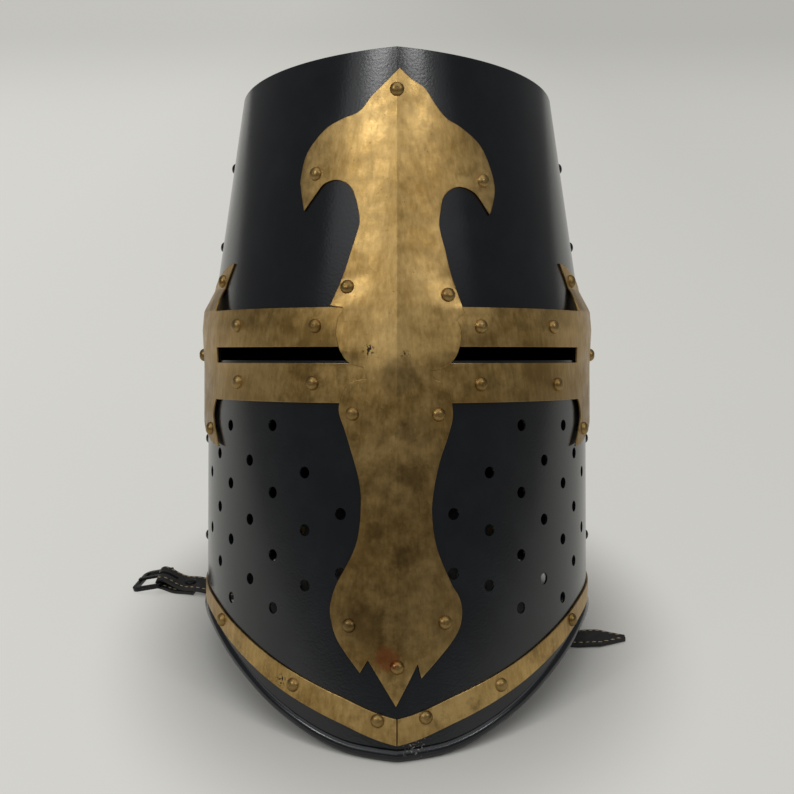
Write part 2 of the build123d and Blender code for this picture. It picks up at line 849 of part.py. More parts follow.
# Rim band: two strips that meet at the front ridge and at the back
band_outside = core(trimmed(lower_skin, 0, waist_height), band_layer)
band_inside = core(trimmed(lower_skin, 0, waist_height), seat)
above_band_low = slab_above(band_lows, on_curve)
above_band_top = slab_above(band_tops, on_curve)


def rim_band(side):
    half = sorted((side * seam_gap / 2, side * wide))
    with BuildPart() as form:
        add(band_outside)
        add(band_inside, mode=Mode.SUBTRACT)
        add(above_band_low, mode=Mode.INTERSECT)
        add(above_band_top, mode=Mode.SUBTRACT)
        add(block(half[0], half[1], -far, far, -beyond, tall), mode=Mode.INTERSECT)
        add(drilled(band_places), mode=Mode.SUBTRACT)
    return form.part


with BuildPart() as rim_band_right:
    add(rim_band(1))
rim_band_right.part.label = "rim_band_right"
export_step(rim_band_right.part, "parts/rim_band_right.step")

with BuildPart() as rim_band_left:
    add(rim_band(-1))
rim_band_left.part.label = "rim_band_left"
export_step(rim_band_left.part, "parts/rim_band_left.step")

# Head band of leather inside the skull, level with the brow
band_grow = -2 * steel_gauge - seat + steel_gauge
liner_levels = trimmed(lower_skin, head_band_low, head_band_top)
with BuildPart() as head_band:
    add(core(liner_levels, band_grow))
    add(core(liner_levels, band_grow - leather_gauge), mode=Mode.SUBTRACT)
    add(drilled(near(all_places, head_band_low - tail_radius, head_band_top + tail_radius)), mode=Mode.SUBTRACT)
head_band.part.label = "head_band"
export_step(head_band.part, "parts/head_band.step")


# Rivets in their groups
def rivet_group(places, head_radius, head_height, inward=0.0):
    # each rivet goes through all that lies under its head: brass, one or two plates, the head band
    forms = []
    for place in places:
        height = helm.to_local_coords(place.origin).Z
        if head_band_low < height < head_band_top:
            inside = band_grow - leather_gauge
        elif height > waist_height + tail_radius:
            inside = 0.0
        else:
            inside = -steel_gauge
        grip = depth_to(place, lower_skin, inside - inward)
        forms.append(rivet(head_radius, head_height, grip, tail_gap).moved(place.location))
    return forms


with BuildPart() as cross_rivets:
    add(rivet_group(cross_places, brass_head_radius, brass_head_height))
cross_rivets.part.label = "cross_rivets"
export_step(cross_rivets.part, "parts/cross_rivets.step")

with BuildPart() as eye_bar_rivets:
    add(rivet_group(bar_places, brass_head_radius, brass_head_height))
eye_bar_rivets.part.label = "eye_bar_rivets"
export_step(eye_bar_rivets.part, "parts/eye_bar_rivets.step")

with BuildPart() as flare_rivets:
    add(rivet_group(flare_places, brass_head_radius, brass_head_height))
flare_rivets.part.label = "flare_rivets"
export_step(flare_rivets.part, "parts/flare_rivets.step")

with BuildPart() as rim_band_rivets:
    add(rivet_group(band_places, brass_head_radius, brass_head_height))
rim_band_rivets.part.label = "rim_band_rivets"
export_step(rim_band_rivets.part, "parts/rim_band_rivets.step")

with BuildPart() as upper_seam_rivets:
    add(rivet_group(upper_seam_places, steel_head_radius, steel_head_height, steel_gauge))
upper_seam_rivets.part.label = "upper_seam_rivets"
export_step(upper_seam_rivets.part, "parts/upper_seam_rivets.step")

with BuildPart() as lower_seam_rivets:
    add(rivet_group(lower_seam_places, steel_head_radius, steel_head_height, steel_gauge))
lower_seam_rivets.part.label = "lower_seam_rivets"
export_step(lower_seam_rivets.part, "parts/lower_seam_rivets.step")

with BuildPart() as back_lap_rivets:
    add(rivet_group(lap_places, steel_head_radius, steel_head_height))
back_lap_rivets.part.label = "back_lap_rivets"
export_step(back_lap_rivets.part, "parts/back_lap_rivets.step")

with BuildPart() as head_band_rivets:
    add(rivet_group(liner_places, steel_head_radius, steel_head_height))
head_band_rivets.part.label = "head_band_rivets"
export_step(head_band_rivets.part, "parts/head_band_rivets.step")

# Suspension straps of the lining: one from brow to nape, one from side to side under it


def ribbon(points, hint, widths, gauge, count):
    # flat strip along a curve, its width kept as near as it can be to one direction
    path = Spline(*points)
    with BuildPart() as form:
        for i in range(count + 1):
            share = i / count
            tangent = path % share
            across = hint - tangent * hint.dot(tangent)
            with BuildSketch(Plane(origin=path @ share, x_dir=across, z_dir=tangent)):
                Rectangle(widths(share), gauge)
        loft(ruled=True)
    return form.part


def steady(width):
    return lambda share: width


strap_seat_grow = band_grow - leather_gauge - seat - head_strap_gauge / 2
arch_shares = ((0.97, 0.35), (0.82, 0.67), (0.55, 0.89), (0.27, 0.985))


def inside_of_band(height, bearing):
    return wall_point(level_at(lower_skin, height), strap_seat_grow, bearing)


def head_strap(ends, hint, apex):
    # ends: horizontal reach of the strap's foot and of its lap on the band, on each side
    points = []
    for foot, lap in ends:
        rise = apex - head_band_top
        arch = [lap * a for a, b in arch_shares], [head_band_top + rise * b for a, b in arch_shares]
        half = [(foot, head_band_top - head_strap_lap), (lap, head_band_top)] + list(zip(*arch))
        points.append(half)
    whole = points[0] + [(0, apex)] + points[1][::-1]
    if hint.X > 0:
        return [at(0, u, z) for u, z in whole]
    return [at(u, 0, z) for u, z in whole]


lap_low = head_band_top - head_strap_lap
front_foot = inside_of_band(lap_low, ridge_bearing(level_at(lower_skin, lap_low), strap_seat_grow))[1]
front_lap = inside_of_band(head_band_top, ridge_bearing(level_at(lower_skin, head_band_top), strap_seat_grow))[1]
back_foot, back_lap = inside_of_band(lap_low, 90.0)[1], inside_of_band(head_band_top, 90.0)[1]
side_foot, side_lap = inside_of_band(lap_low, 0.0)[0], inside_of_band(head_band_top, 0.0)[0]

long_ends = ((front_foot + brow_ease, front_lap + brow_ease), (back_foot - nape_ease, back_lap - nape_ease))
with BuildPart() as head_strap_long:
    add(ribbon(head_strap(long_ends, Vector(1, 0, 0), head_strap_apex), Vector(1, 0, 0),
               steady(head_strap_width), head_strap_gauge, 28))
head_strap_long.part.label = "head_strap_long"
export_step(head_strap_long.part, "parts/head_strap_long.step")

cross_apex = head_strap_apex - head_strap_gauge - seat - seam_gap
side_ends = ((side_foot - side_ease, side_lap - side_ease), (side_ease - side_foot, side_ease - side_lap))
with BuildPart() as head_strap_cross:
    add(ribbon(head_strap(side_ends, -aft, cross_apex), aft,
               steady(head_strap_width), head_strap_gauge, 28))
head_strap_cross.part.label = "head_strap_cross"
export_step(head_strap_cross.part, "parts/head_strap_cross.step")


# Chin straps: riveted inside the side seams, down to the table and out under the rim


def table(x, back, height):
    return Vector(x, back - rest_length / 2, height)


strap_rest = strap_floor + leather_gauge / 2
strap_wall_grow = -2 * steel_gauge - strap_ease - leather_gauge / 2
fall_shares = ((0.0, 0.0, 1.0), (0.04, 0.06, 0.84), (0.36, 0.28, 0.6), (0.8, 0.55, 0.37), (1.0, 0.76, 0.18))
turn_shares = ((0.78, 0.93, 0.35), (0.3, 1.0, 0.0))


def strap_fall(side, back):
    # from above the rivet down to where the strap turns out on the table
    x, y = wall_point(level_at(lower_skin, strap_rivet_height), strap_wall_grow, 0.0)
    rivet_spot = at(side * x, y, strap_rivet_height)
    rivet_back = rivet_spot.Y + rest_length / 2
    points = [rivet_spot + along(0, 0, strap_tail)]
    for inward, travel, height in fall_shares:
        z = strap_rest + (rivet_spot.Z - strap_rest) * height
        points.append(table(side * (x - strap_tuck * inward), rivet_back + (back - rivet_back) * travel, z))
    for inward, travel, height in turn_shares:
        z = strap_rest + strap_tuck / 2 * height
        points.append(table(side * (x - strap_tuck * inward), rivet_back + (back - rivet_back) * travel, z))
    return points


def pointed(length):
    def width(share):
        left = (1 - share) * length
        return min(strap_width, strap_point_width + (strap_width - strap_point_width) * left / strap_point_length)
    return width


right_points = strap_fall(1, right_strap_back)
right_turn = right_points[-1].X
right_run = right_strap_out - right_turn
right_points += [
    table(right_turn + right_run * share, right_strap_back, strap_rest) for share in (0.34, 0.67, 1.0)
]
right_length = Spline(*right_points).length
with BuildPart() as chin_strap_right:
    add(ribbon(right_points, Vector(0, 1, 0), pointed(right_length), leather_gauge, 36))
    add(drilled(strap_places), mode=Mode.SUBTRACT)
chin_strap_right.part.label = "chin_strap_right"
export_step(chin_strap_right.part, "parts/chin_strap_right.step")

# Left strap: its end is turned under round the buckle's bar and fixed with a stud
left_points = strap_fall(-1, left_strap_back)
skew = math.radians(left_strap_skew_deg)
strap_out = Vector(-math.cos(skew), math.sin(skew), 0)
strap_across = Vector(math.sin(skew), math.cos(skew), 0)
bar_foot = left_points[-1] + strap_out * left_strap_run
bar_centre = Vector(bar_foot.X, bar_foot.Y, buckle_bar_height)
fold_inner = buckle_bar_radius + running_fit
fold_middle = fold_inner + leather_gauge / 2
fold_outer = fold_inner + leather_gauge
stack = strap_rest + leather_gauge + seat


def beside_bar(back, height):
    return Vector(bar_centre.X, bar_centre.Y, height) - strap_out * back


left_points += [
    beside_bar(left_strap_run - fold_length / 3, strap_rest),
    beside_bar((left_strap_run + fold_length) / 2, strap_rest + leather_gauge / 3),
    beside_bar(stud_set_back + stud_radius, stack),
    beside_bar(stud_set_back - stud_radius, stack),
    beside_bar(fold_length / 3, (buckle_bar_height + fold_middle + stack) / 2),
    beside_bar(0, buckle_bar_height + fold_middle),
]
under_points = [
    beside_bar(0, buckle_bar_height - fold_middle),
    beside_bar(fold_length / 3, strap_rest + seat),
    beside_bar(fold_length * 2 / 3, strap_rest),
    beside_bar(fold_length, strap_rest),
]
fold_view = Plane(origin=bar_centre, x_dir=strap_out, z_dir=strap_across)
slot_width = prong_width + 2 * running_fit + seam_gap
with BuildPart() as strap_fold:
    with BuildSketch(fold_view):
        Circle(fold_outer)
        Circle(fold_inner, mode=Mode.SUBTRACT)
    extrude(amount=strap_width / 2, both=True)
with BuildPart() as chin_strap_left:
    add(ribbon(left_points, Vector(0, 1, 0), steady(strap_width), leather_gauge, 48))
    add(ribbon(under_points, strap_across, steady(strap_width), leather_gauge, 10))
    add(strap_fold.part)
    with BuildSketch(fold_view):
        Circle(fold_inner)
    extrude(amount=strap_width, both=True, mode=Mode.SUBTRACT)
    with BuildSketch(fold_view):
        with Locations(((fold_outer + running_fit - prong_slot_length) / 2, 0)):
            Rectangle(prong_slot_length + fold_outer + running_fit, 3 * fold_outer)
    extrude(amount=slot_width / 2, both=True, mode=Mode.SUBTRACT)
    add(drilled(strap_places), mode=Mode.SUBTRACT)
    with BuildSketch(Plane(origin=beside_bar(stud_set_back, 0), x_dir=strap_out, z_dir=(0, 0, 1))):
        Circle(shank_radius + running_fit)
    extrude(amount=stack + leather_gauge, mode=Mode.SUBTRACT)
chin_strap_left.part.label = "chin_strap_left"
export_step(chin_strap_left.part, "parts/chin_strap_left.step")

stud_top = stack + leather_gauge / 2 + 2 * seat
with BuildPart() as strap_stud:
    with BuildSketch(Plane(origin=beside_bar(stud_set_back, stud_top), x_dir=strap_out, z_dir=strap_across)):
        with BuildLine():
            Polyline(
                (0, stud_height),
                (stud_radius * stud_flat_share, stud_height),
                (stud_radius, stud_height * stud_edge_share),
                (stud_radius, 0),
                (shank_radius, 0),
                (shank_radius, strap_floor - stud_top),
                (0, strap_floor - stud_top),
                (0, stud_height),
            )
        make_face()
    revolve(axis=Axis(beside_bar(stud_set_back, 0), (0, 0, 1)))
strap_stud.part.label = "strap_stud"
export_step(strap_stud.part, "parts/strap_stud.step")

# Buckle: a flat frame on a round bar, lying down from the fold to the table
frame_reach = fold_middle + buckle_inner_length + buckle_rim_width / 2
frame_drop = buckle_bar_height - strap_floor - buckle_thickness / 2
frame_tilt = math.asin(frame_drop / (frame_reach + buckle_rim_width / 2))
frame_out = strap_out * math.cos(frame_tilt) - Vector(0, 0, math.sin(frame_tilt))
frame_up = strap_out * math.sin(frame_tilt) + Vector(0, 0, math.cos(frame_tilt))
frame_plane = Plane(origin=bar_centre, x_dir=frame_out, z_dir=frame_up)
frame_view = Plane(origin=bar_centre, x_dir=frame_out, z_dir=frame_out.cross(frame_up))
outer_length = frame_reach + buckle_rim_width / 2 + buckle_heel
outer_width = buckle_inner_width + 2 * buckle_rim_width
inner_end = frame_reach - buckle_rim_width / 2
with BuildPart() as buckle_frame:
    with BuildSketch(frame_plane.offset(-buckle_thickness / 2)):
        with Locations((outer_length / 2 - buckle_heel, 0)):
            Rectangle(outer_length, outer_width)
    extrude(amount=buckle_thickness)
    fillet(buckle_frame.edges().filter_by(Axis(bar_centre, frame_up)).sort_by(
        Axis(bar_centre, frame_out))[-2:], buckle_corner)
    fillet(buckle_frame.edges().filter_by(Axis(bar_centre, frame_up)).sort_by(
        Axis(bar_centre, frame_out))[:2], buckle_heel_round)
    with BuildSketch(frame_plane.offset(-buckle_thickness)):
        with Locations(((inner_end - 2 * buckle_heel) / 2, 0)):
            Rectangle(inner_end + 2 * buckle_heel, buckle_inner_width)
    extrude(amount=2 * buckle_thickness, mode=Mode.SUBTRACT)
    with BuildSketch(frame_view):
        Circle(buckle_bar_radius)
    extrude(amount=buckle_inner_width / 2 + buckle_rim_width / 2, both=True)
buckle_frame.part.label = "buckle_frame"
export_step(buckle_frame.part, "parts/buckle_frame.step")

prong_low = buckle_thickness / 2 + seat
prong_eye = fold_inner + prong_gauge
with BuildPart() as buckle_prong:
    with BuildSketch(frame_view):
        Circle(prong_eye)
        with Locations((frame_reach / 2, prong_low + prong_gauge / 2)):
            Rectangle(frame_reach, prong_gauge)
        with Locations((frame_reach, prong_low + prong_gauge / 2)):
            Circle(prong_gauge / 2)
        Circle(fold_inner - running_fit / 2, mode=Mode.SUBTRACT)
    extrude(amount=prong_width / 2, both=True)
buckle_prong.part.label = "buckle_prong"
export_step(buckle_prong.part, "parts/buckle_prong.step")


with BuildPart() as chin_strap_rivets:
    add(rivet_group(strap_places, steel_head_radius, steel_head_height, steel_gauge + strap_ease + leather_gauge))
chin_strap_rivets.part.label = "chin_strap_rivets"
export_step(chin_strap_rivets.part, "parts/chin_strap_rivets.step")

print("lean", math.degrees(lean), "bar", bar_centre, "across", strap_across, "helm", helm_origin)
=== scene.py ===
import math

import bpy
import numpy as np
from bpy.props import FloatProperty, FloatVectorProperty, IntProperty, PointerProperty
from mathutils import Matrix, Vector, noise


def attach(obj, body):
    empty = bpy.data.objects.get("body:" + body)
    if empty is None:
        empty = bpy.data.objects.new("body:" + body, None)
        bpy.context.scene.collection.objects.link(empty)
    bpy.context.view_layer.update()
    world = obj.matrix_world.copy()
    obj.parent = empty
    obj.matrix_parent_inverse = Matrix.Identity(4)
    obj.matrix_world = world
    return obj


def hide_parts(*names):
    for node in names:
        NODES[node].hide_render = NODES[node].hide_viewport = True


bl_info = {
    "name": "Great helm",
    "version": (1, 0, 0),
    "blender": (4, 5, 0),
    "location": "View3D > Sidebar > Helm",
    "description": "Dresses a riveted great helm in black steel, beaten brass and leather",
    "category": "Object",
}

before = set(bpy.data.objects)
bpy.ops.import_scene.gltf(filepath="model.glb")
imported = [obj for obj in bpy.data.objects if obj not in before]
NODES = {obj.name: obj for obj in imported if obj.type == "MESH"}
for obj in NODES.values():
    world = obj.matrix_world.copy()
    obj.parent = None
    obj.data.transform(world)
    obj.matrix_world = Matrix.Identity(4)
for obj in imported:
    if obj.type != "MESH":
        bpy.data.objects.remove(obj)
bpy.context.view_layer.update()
MM = 0.001


def hex_colour(text):
    # sRGB hex to the linear values that the shaders take
    parts = [int(text[i:i + 2], 16) / 255 for i in (1, 3, 5)]
    linear = [p / 12.92 if p <= 0.04045 else ((p + 0.055) / 1.055) ** 2.4 for p in parts]
    return (*linear, 1.0)


def colour_property(name, description, default):
    return FloatVectorProperty(
        name=name, description=description, subtype="COLOR", size=4, min=0, max=1, default=hex_colour(default)
    )


def length_property(name, description, millimetres):
    return FloatProperty(
        name=name, description=description, default=millimetres * MM, min=0, unit="LENGTH", precision=5
    )


class HelmSizes(bpy.types.PropertyGroup):
    steel_gauge: length_property("Steel gauge", "Thickness of the shell's plates", 1.2)
    brass_gauge: length_property("Brass gauge", "Thickness of the cross, the eye bars and the rim band", 1.0)
    edge_round: length_property("Edge rounding", "How far the sheared edges are eased", 0.22)
    breath_radius: length_property("Breath hole radius", "Radius of the holes punched in the face plate", 3.0)
    rod_radius: length_property("Rim rod radius", "Radius of the rod under the lower edge", 3.2)
    beating: length_property("Beating", "How uneven the hand-beaten brass is", 0.22)
    strap_gauge: length_property("Strap gauge", "Thickness of the chin straps", 2.4)
    stitch_pitch: length_property("Stitch pitch", "Distance from one stitch to the next", 3.6)
    plate_cells: IntProperty(
        name="Cells", description="Faces along half of a plate", default=84, min=20, max=200
    )


class HelmColours(bpy.types.PropertyGroup):
    black_coat: colour_property("Black coat", "Satin black coat on the steel", "#0f1217")
    coat_dust: colour_property("Coat dust", "Dust and finger marks on the black coat", "#1a1d22")
    bare_steel: colour_property("Bare steel", "Steel where the coat is chipped", "#8a8780")
    brass_bright: colour_property("Bright brass", "Brass where hands have rubbed it", "#cfae72")
    brass_dull: colour_property("Dull brass", "Brass dulled by air", "#a08049")
    # brown brass also serves as painted shade below the eye slits and below the cross's upper boss
    brass_brown: colour_property("Brown brass", "Stains and old polish in the hollows", "#574428")
    stain_red: colour_property("Red stain", "Reddish stain at the foot of the cross", "#8a4526")
    strap_black: colour_property("Strap leather", "Black dyed leather", "#1b1a1b")
    strap_worn: colour_property("Strap wear", "Black leather where it rubs", "#2f2c2b")
    thread_tan: colour_property("Thread", "Waxed linen thread", "#c9b48a")
    thread_soiled: colour_property("Thread dirt", "Wax and dirt in the thread", "#7d6a4a")
    lining_tan: colour_property("Lining leather", "Plain vegetable-tanned leather", "#4a3222")
    lining_worn: colour_property("Lining wear", "Tanned leather where it rubs", "#5e432e")
    buckle_black: colour_property("Buckle", "Blackened buckle metal", "#1d1d1f")
    table: colour_property("Table", "Pale table top", "#dddcd6")


# Shape of the shell in the helm's own frame, as the part's source has it: height, half width, reach to the
# front and to the back, and what stands proud there, all in millimetres
FOOT = (0.0, 109.0, 131.0, 135.0, 0.0)
WAIST = (194.0, 107.8, 130.0, 134.0, 0.0)
CROWN = (352.0, 84.6, 117.5, 109.0, 0.0)
SHELL = [FOOT, WAIST, CROWN]
CROWN_FALL = math.radians(5.2)
SIDE_TURN = 45.0
STEEL = 1.2
BRASS = 1.0
SEAT = 0.05
WAIST_LAP = 14.0
SEAM = 8.0
SEAM_GAP = 0.3
RIM_SIDE = 57.5
RIM_STATIONS = [s * 131.0 - 131.0 for s in (0, 0.06, 0.2, 0.4, 0.64, 0.95, 1.3, 1.64, 2.031)]
RIM_HEIGHTS = [s * RIM_SIDE for s in (0, 0.05, 0.285, 0.605, 0.877, 1.0, 1.06, 1.18, 1.36)]
BAND_LOWS = [s * RIM_SIDE for s in (0.162, 0.308, 0.527, 0.785, 1.015, 1.13, 1.195, 1.315, 1.5)]
BAND_TOPS = [s * RIM_SIDE for s in (0.39, 0.539, 0.748, 0.988, 1.19, 1.295, 1.365, 1.485, 1.67)]
ROD = 3.2
ROD_PROUD = 1.6
REST_FRONT = -131.0 + ROD - ROD_PROUD
REST_BACK = 135.0 - ROD + ROD_PROUD
LEAN = math.atan2(RIM_HEIGHTS[-1], REST_BACK - REST_FRONT)
REST_LENGTH = math.hypot(REST_BACK - REST_FRONT, RIM_HEIGHTS[-1])
UP = Vector((0, math.sin(LEAN), math.cos(LEAN)))
AFT = Vector((0, math.cos(LEAN), -math.sin(LEAN)))
ORIGIN = Vector((0, -REST_LENGTH / 2, ROD)) - AFT * REST_FRONT - UP * ROD
SLIT_MIDDLE = 200.0

# The photograph's camera: millimetres to the ridge, then its focal length, size and middle in pixels
VIEW_DISTANCE = 700.0
VIEW_PIXELS = 1437.0
PHOTO_PIXELS = 794
CENTRE_PX = 397.5
LEVEL_PX = 355.0
SENSOR_WIDTH = 36

# Where the plates lap and where the slits are cut, in millimetres
CROWN_FLANGE = 8.0
ROD_LAP = 0.2
TAB_SHIFT = 1.2
BACK_TAB_LOW = 204.0
SLIT_NEAR, SLIT_FAR = 25.0, 94.5
SLIT_LOW, SLIT_HIGH = 197.2, 203.7
SLIT_CUT_REACH = 150.0
BAR_END = 5.2
BAR_SLIT_NEAR, BAR_SLIT_FAR = 20.0, 95.7
BAR_SLIT_LOW, BAR_SLIT_HIGH = 196.0, 204.1
BAND_FRONT_GAP = 0.12
BAND_BACK_BEARING = 89.93
BAND_ARC_MM = 2.3

# How finely pieces are laid out, and the heights that a search for a place starts from
CROSS_CELL = 1.8
BAR_CELL = 2.0
ROD_STEPS = 150
PLATE_START = 190.0
BAND_START = 40.0


def row(x, y, z):
    # helm frame in millimetres to the shared frame in metres
    return (ORIGIN + Vector((x, 0, 0)) + AFT * y + UP * z) * MM


def level_at(skin, height):
    low, high = skin[0], skin[1]
    for below, above in zip(skin, skin[1:]):
        low, high = below, above
        if height <= above[0]:
            break
    share = (height - low[0]) / (high[0] - low[0])
    return tuple(a + (b - a) * share for a, b in zip(low, high))


def arcs_of(level, grow):
    height, half_width, front, back, extra = level
    turn = math.radians(SIDE_TURN)
    front_radius = (half_width**2 + front**2) / (2 * half_width)
    shift = (back - half_width) / (1 - math.sin(turn) - math.cos(turn))
    wide = grow + extra
    return (
        (half_width - front_radius, 0.0, front_radius + wide),
        (shift * math.cos(turn), 0.0, half_width - shift * math.cos(turn) + wide),
        (0.0, -shift * math.sin(turn), back + shift * math.sin(turn) + wide),
    )


def ridge_bearing(level, grow):
    x, y, radius = arcs_of(level, grow)[0]
    return -math.degrees(math.acos(-x / radius))


def wall_point(level, grow, bearing):
    arcs = arcs_of(level, grow)
    x, y, radius = arcs[0] if bearing < 0 else arcs[1] if bearing < SIDE_TURN else arcs[2]
    turn = math.radians(bearing)
    return x + radius * math.cos(turn), y + radius * math.sin(turn)


def curve_at(heights, y):
    places = RIM_STATIONS
    i = 0
    while i < len(places) - 2 and y > places[i + 1]:
        i += 1
    slopes = []
    for k in (i, i + 1):
        a, b = max(k - 1, 0), min(k + 1, len(places) - 1)
        slopes.append((heights[b] - heights[a]) / (places[b] - places[a]))
    width = places[i + 1] - places[i]
    t = (y - places[i]) / width
    return (
        (2 * t**3 - 3 * t**2 + 1) * heights[i] + (t**3 - 2 * t**2 + t) * width * slopes[0]
        + (-2 * t**3 + 3 * t**2) * heights[i + 1] + (t**3 - t**2) * width * slopes[1]
    )


def crown_at(y):
    return CROWN[0] - math.tan(CROWN_FALL) * (y + CROWN[2] + STEEL)


def front_of(skin, grow, x, z):
    # how far in front of the helm's middle a skin lies
    cx, cy, radius = arcs_of(level_at(skin, z), grow)[0]
    return math.sqrt(max(radius**2 - (abs(x) - cx) ** 2, 0))


def shell_front(x, z):
    return front_of(SHELL, STEEL, x, z)


def seen(point_px, front_at=shell_front):
    # a point of the photograph carried to the front of the shell, or to the front that front_at gives
    behind = 0.0
    for turn in range(6):
        depth = VIEW_DISTANCE + behind
        x = (point_px[0] - CENTRE_PX) * depth / VIEW_PIXELS
        z = SLIT_MIDDLE - (point_px[1] - LEVEL_PX) * depth / VIEW_PIXELS
        behind = FOOT[2] - front_at(x, z)
    return x, z


def bearing_at_x(skin, grow, x, z):
    cx, cy, radius = arcs_of(level_at(skin, z), grow)[0]
    return -math.degrees(math.acos(min((abs(x) - cx) / radius, 1)))


def bearing_at_y(skin, grow, y, z):
    cx, cy, radius = arcs_of(level_at(skin, z), grow)[0 if y < 0 else 1]
    return math.degrees(math.asin(y / radius))


def upright(height, bulge):
    return (height,) + WAIST[1:4] + (bulge,)


def with_extra(level, extra):
    return level[:4] + (extra,)


BAR_SKIN = [
    level_at(SHELL, 133.0),
    WAIST,
    upright(214.0, 0.9),
    upright(224.5, 0.0),
    level_at(SHELL, 236.0),
    level_at(SHELL, 267.0),
]
BAR_INNER = STEEL + SEAT
OVER_BAR = BAR_INNER + BRASS + SEAT
CROSS_SKIN = [
    with_extra(FOOT, SEAT),
    with_extra(level_at(SHELL, 162.7), SEAT),
    with_extra(level_at(SHELL, 175.7), OVER_BAR),
    with_extra(WAIST, OVER_BAR),
    upright(201.0, OVER_BAR + 1.6),
    upright(224.3, OVER_BAR),
    with_extra(level_at(SHELL, 237.3), BAR_INNER),
    with_extra(CROWN, BAR_INNER),
]
CROSS_HUG = [
    with_extra(FOOT, SEAT),
    with_extra(level_at(SHELL, 140.0), SEAT),
    with_extra(level_at(SHELL, 175.7), OVER_BAR),
    with_extra(WAIST, OVER_BAR),
    with_extra(level_at(SHELL, 224.3), OVER_BAR),
    with_extra(level_at(SHELL, 262.0), BAR_INNER),
    with_extra(CROWN, BAR_INNER),
]
BAR_HUG = [BAR_SKIN[0], WAIST, level_at(SHELL, 267.0)]


def hugging(x):
    # share of the way from the proud bar to the wall: all of it at the fold, none at the bar's first rivets
    return 1 - smooth(10.0, 33.0, abs(x))


def smooth(low, high, value):
    t = min(max((value - low) / (high - low), 0), 1)
    return t * t * (3 - 2 * t)


def cross_front(x, z, t):
    # how far in front of the helm's middle the cross lies, t above its inner face
    proud = front_of(CROSS_SKIN, t, x, z)
    return proud + (front_of(CROSS_HUG, t, x, z) - proud) * hugging(x)


def brass_front(x, z):
    return cross_front(x, z, BRASS)


def on_brass(point_px):
    # a point of the photograph carried to the outside of the brass, in the shared frame
    x, z = seen(point_px, brass_front)
    return row(x, -brass_front(x, z), z)


# Modelling steps that several pieces share
def only(obj):
    bpy.ops.object.select_all(action="DESELECT")
    obj.select_set(True)
    bpy.context.view_layer.objects.active = obj


def grid(name, across, along, place):
    # a flat grid laid over a surface: place(x, y) takes -1..1 both ways
    bpy.ops.object.select_all(action="DESELECT")
    bpy.ops.mesh.primitive_grid_add(x_subdivisions=across, y_subdivisions=along, size=2)
    obj = bpy.context.object
    obj.name = name
    for vertex in obj.data.vertices:
        vertex.co = place(vertex.co.x, vertex.co.y)
    return obj


def weld(obj, outwards=True):
    only(obj)
    bpy.ops.object.mode_set(mode="EDIT")
    bpy.ops.mesh.select_all(action="SELECT")
    bpy.ops.mesh.remove_doubles(threshold=0.004 * MM)
    if outwards:
        bpy.ops.mesh.normals_make_consistent(inside=False)
    bpy.ops.object.mode_set(mode="OBJECT")


def modify(obj, kind, **settings):
    only(obj)
    modifier = obj.modifiers.new(kind.title(), kind)
    for key, value in settings.items():
        setattr(modifier, key, value)
    bpy.ops.object.modifier_apply(modifier=modifier.name)


def ease_edges(obj, width, clamp=True):
    modify(obj, "BEVEL", width=width, segments=2, limit_method="ANGLE", angle_limit=math.radians(45),
           use_clamp_overlap=clamp, harden_normals=False)


def cut(obj, tool, how="DIFFERENCE"):
    modify(obj, "BOOLEAN", object=tool, operation=how, solver="EXACT")
    bpy.data.objects.remove(tool, do_unlink=True)


def join(objects, name):
    bpy.ops.object.select_all(action="DESELECT")
    for obj in objects:
        obj.select_set(True)
    bpy.context.view_layer.objects.active = objects[0]
    if len(objects) > 1:
        bpy.ops.object.join()
    obj = bpy.context.object
    obj.name = name
    return obj


def settle(obj, material, body, nodes, angle=16):
    obj.data.materials.clear()
    obj.data.materials.append(material)
    only(obj)
    bpy.ops.object.shade_smooth_by_angle(angle=math.radians(angle))
    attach(obj, body)
    if nodes:
        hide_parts(*nodes)
    return obj


def refined(node, name, material, body, edge=0.0, angle=32):
    # the node's own shape, merged, its edges eased
    obj = NODES[node].copy()
    obj.data = NODES[node].data.copy()
    obj.name = name
    obj.parent = None
    bpy.context.scene.collection.objects.link(obj)
    only(obj)
    bpy.ops.mesh.customdata_custom_splitnormals_clear()
    weld(obj, outwards=False)
    if edge:
        modify(obj, "DECIMATE", decimate_type="DISSOLVE", angle_limit=math.radians(0.5))
        ease_edges(obj, edge)
    return settle(obj, material, body, [node], angle)


def prism(name, outline, low, high):
    # closed outline in metres, pulled up into a cutter
    bpy.ops.object.select_all(action="DESELECT")
    bpy.ops.mesh.primitive_circle_add(vertices=len(outline), radius=1, fill_type="NGON")
    obj = bpy.context.object
    obj.name = name
    for vertex, (x, y) in zip(obj.data.vertices, outline):
        vertex.co = (x, y, low)
    bpy.ops.object.mode_set(mode="EDIT")
    bpy.ops.mesh.select_all(action="SELECT")
    bpy.ops.mesh.extrude_region_move(TRANSFORM_OT_translate={"value": (0, 0, high - low)})
    bpy.ops.mesh.select_all(action="SELECT")
    bpy.ops.mesh.normals_make_consistent(inside=False)
    bpy.ops.object.mode_set(mode="OBJECT")
    return obj


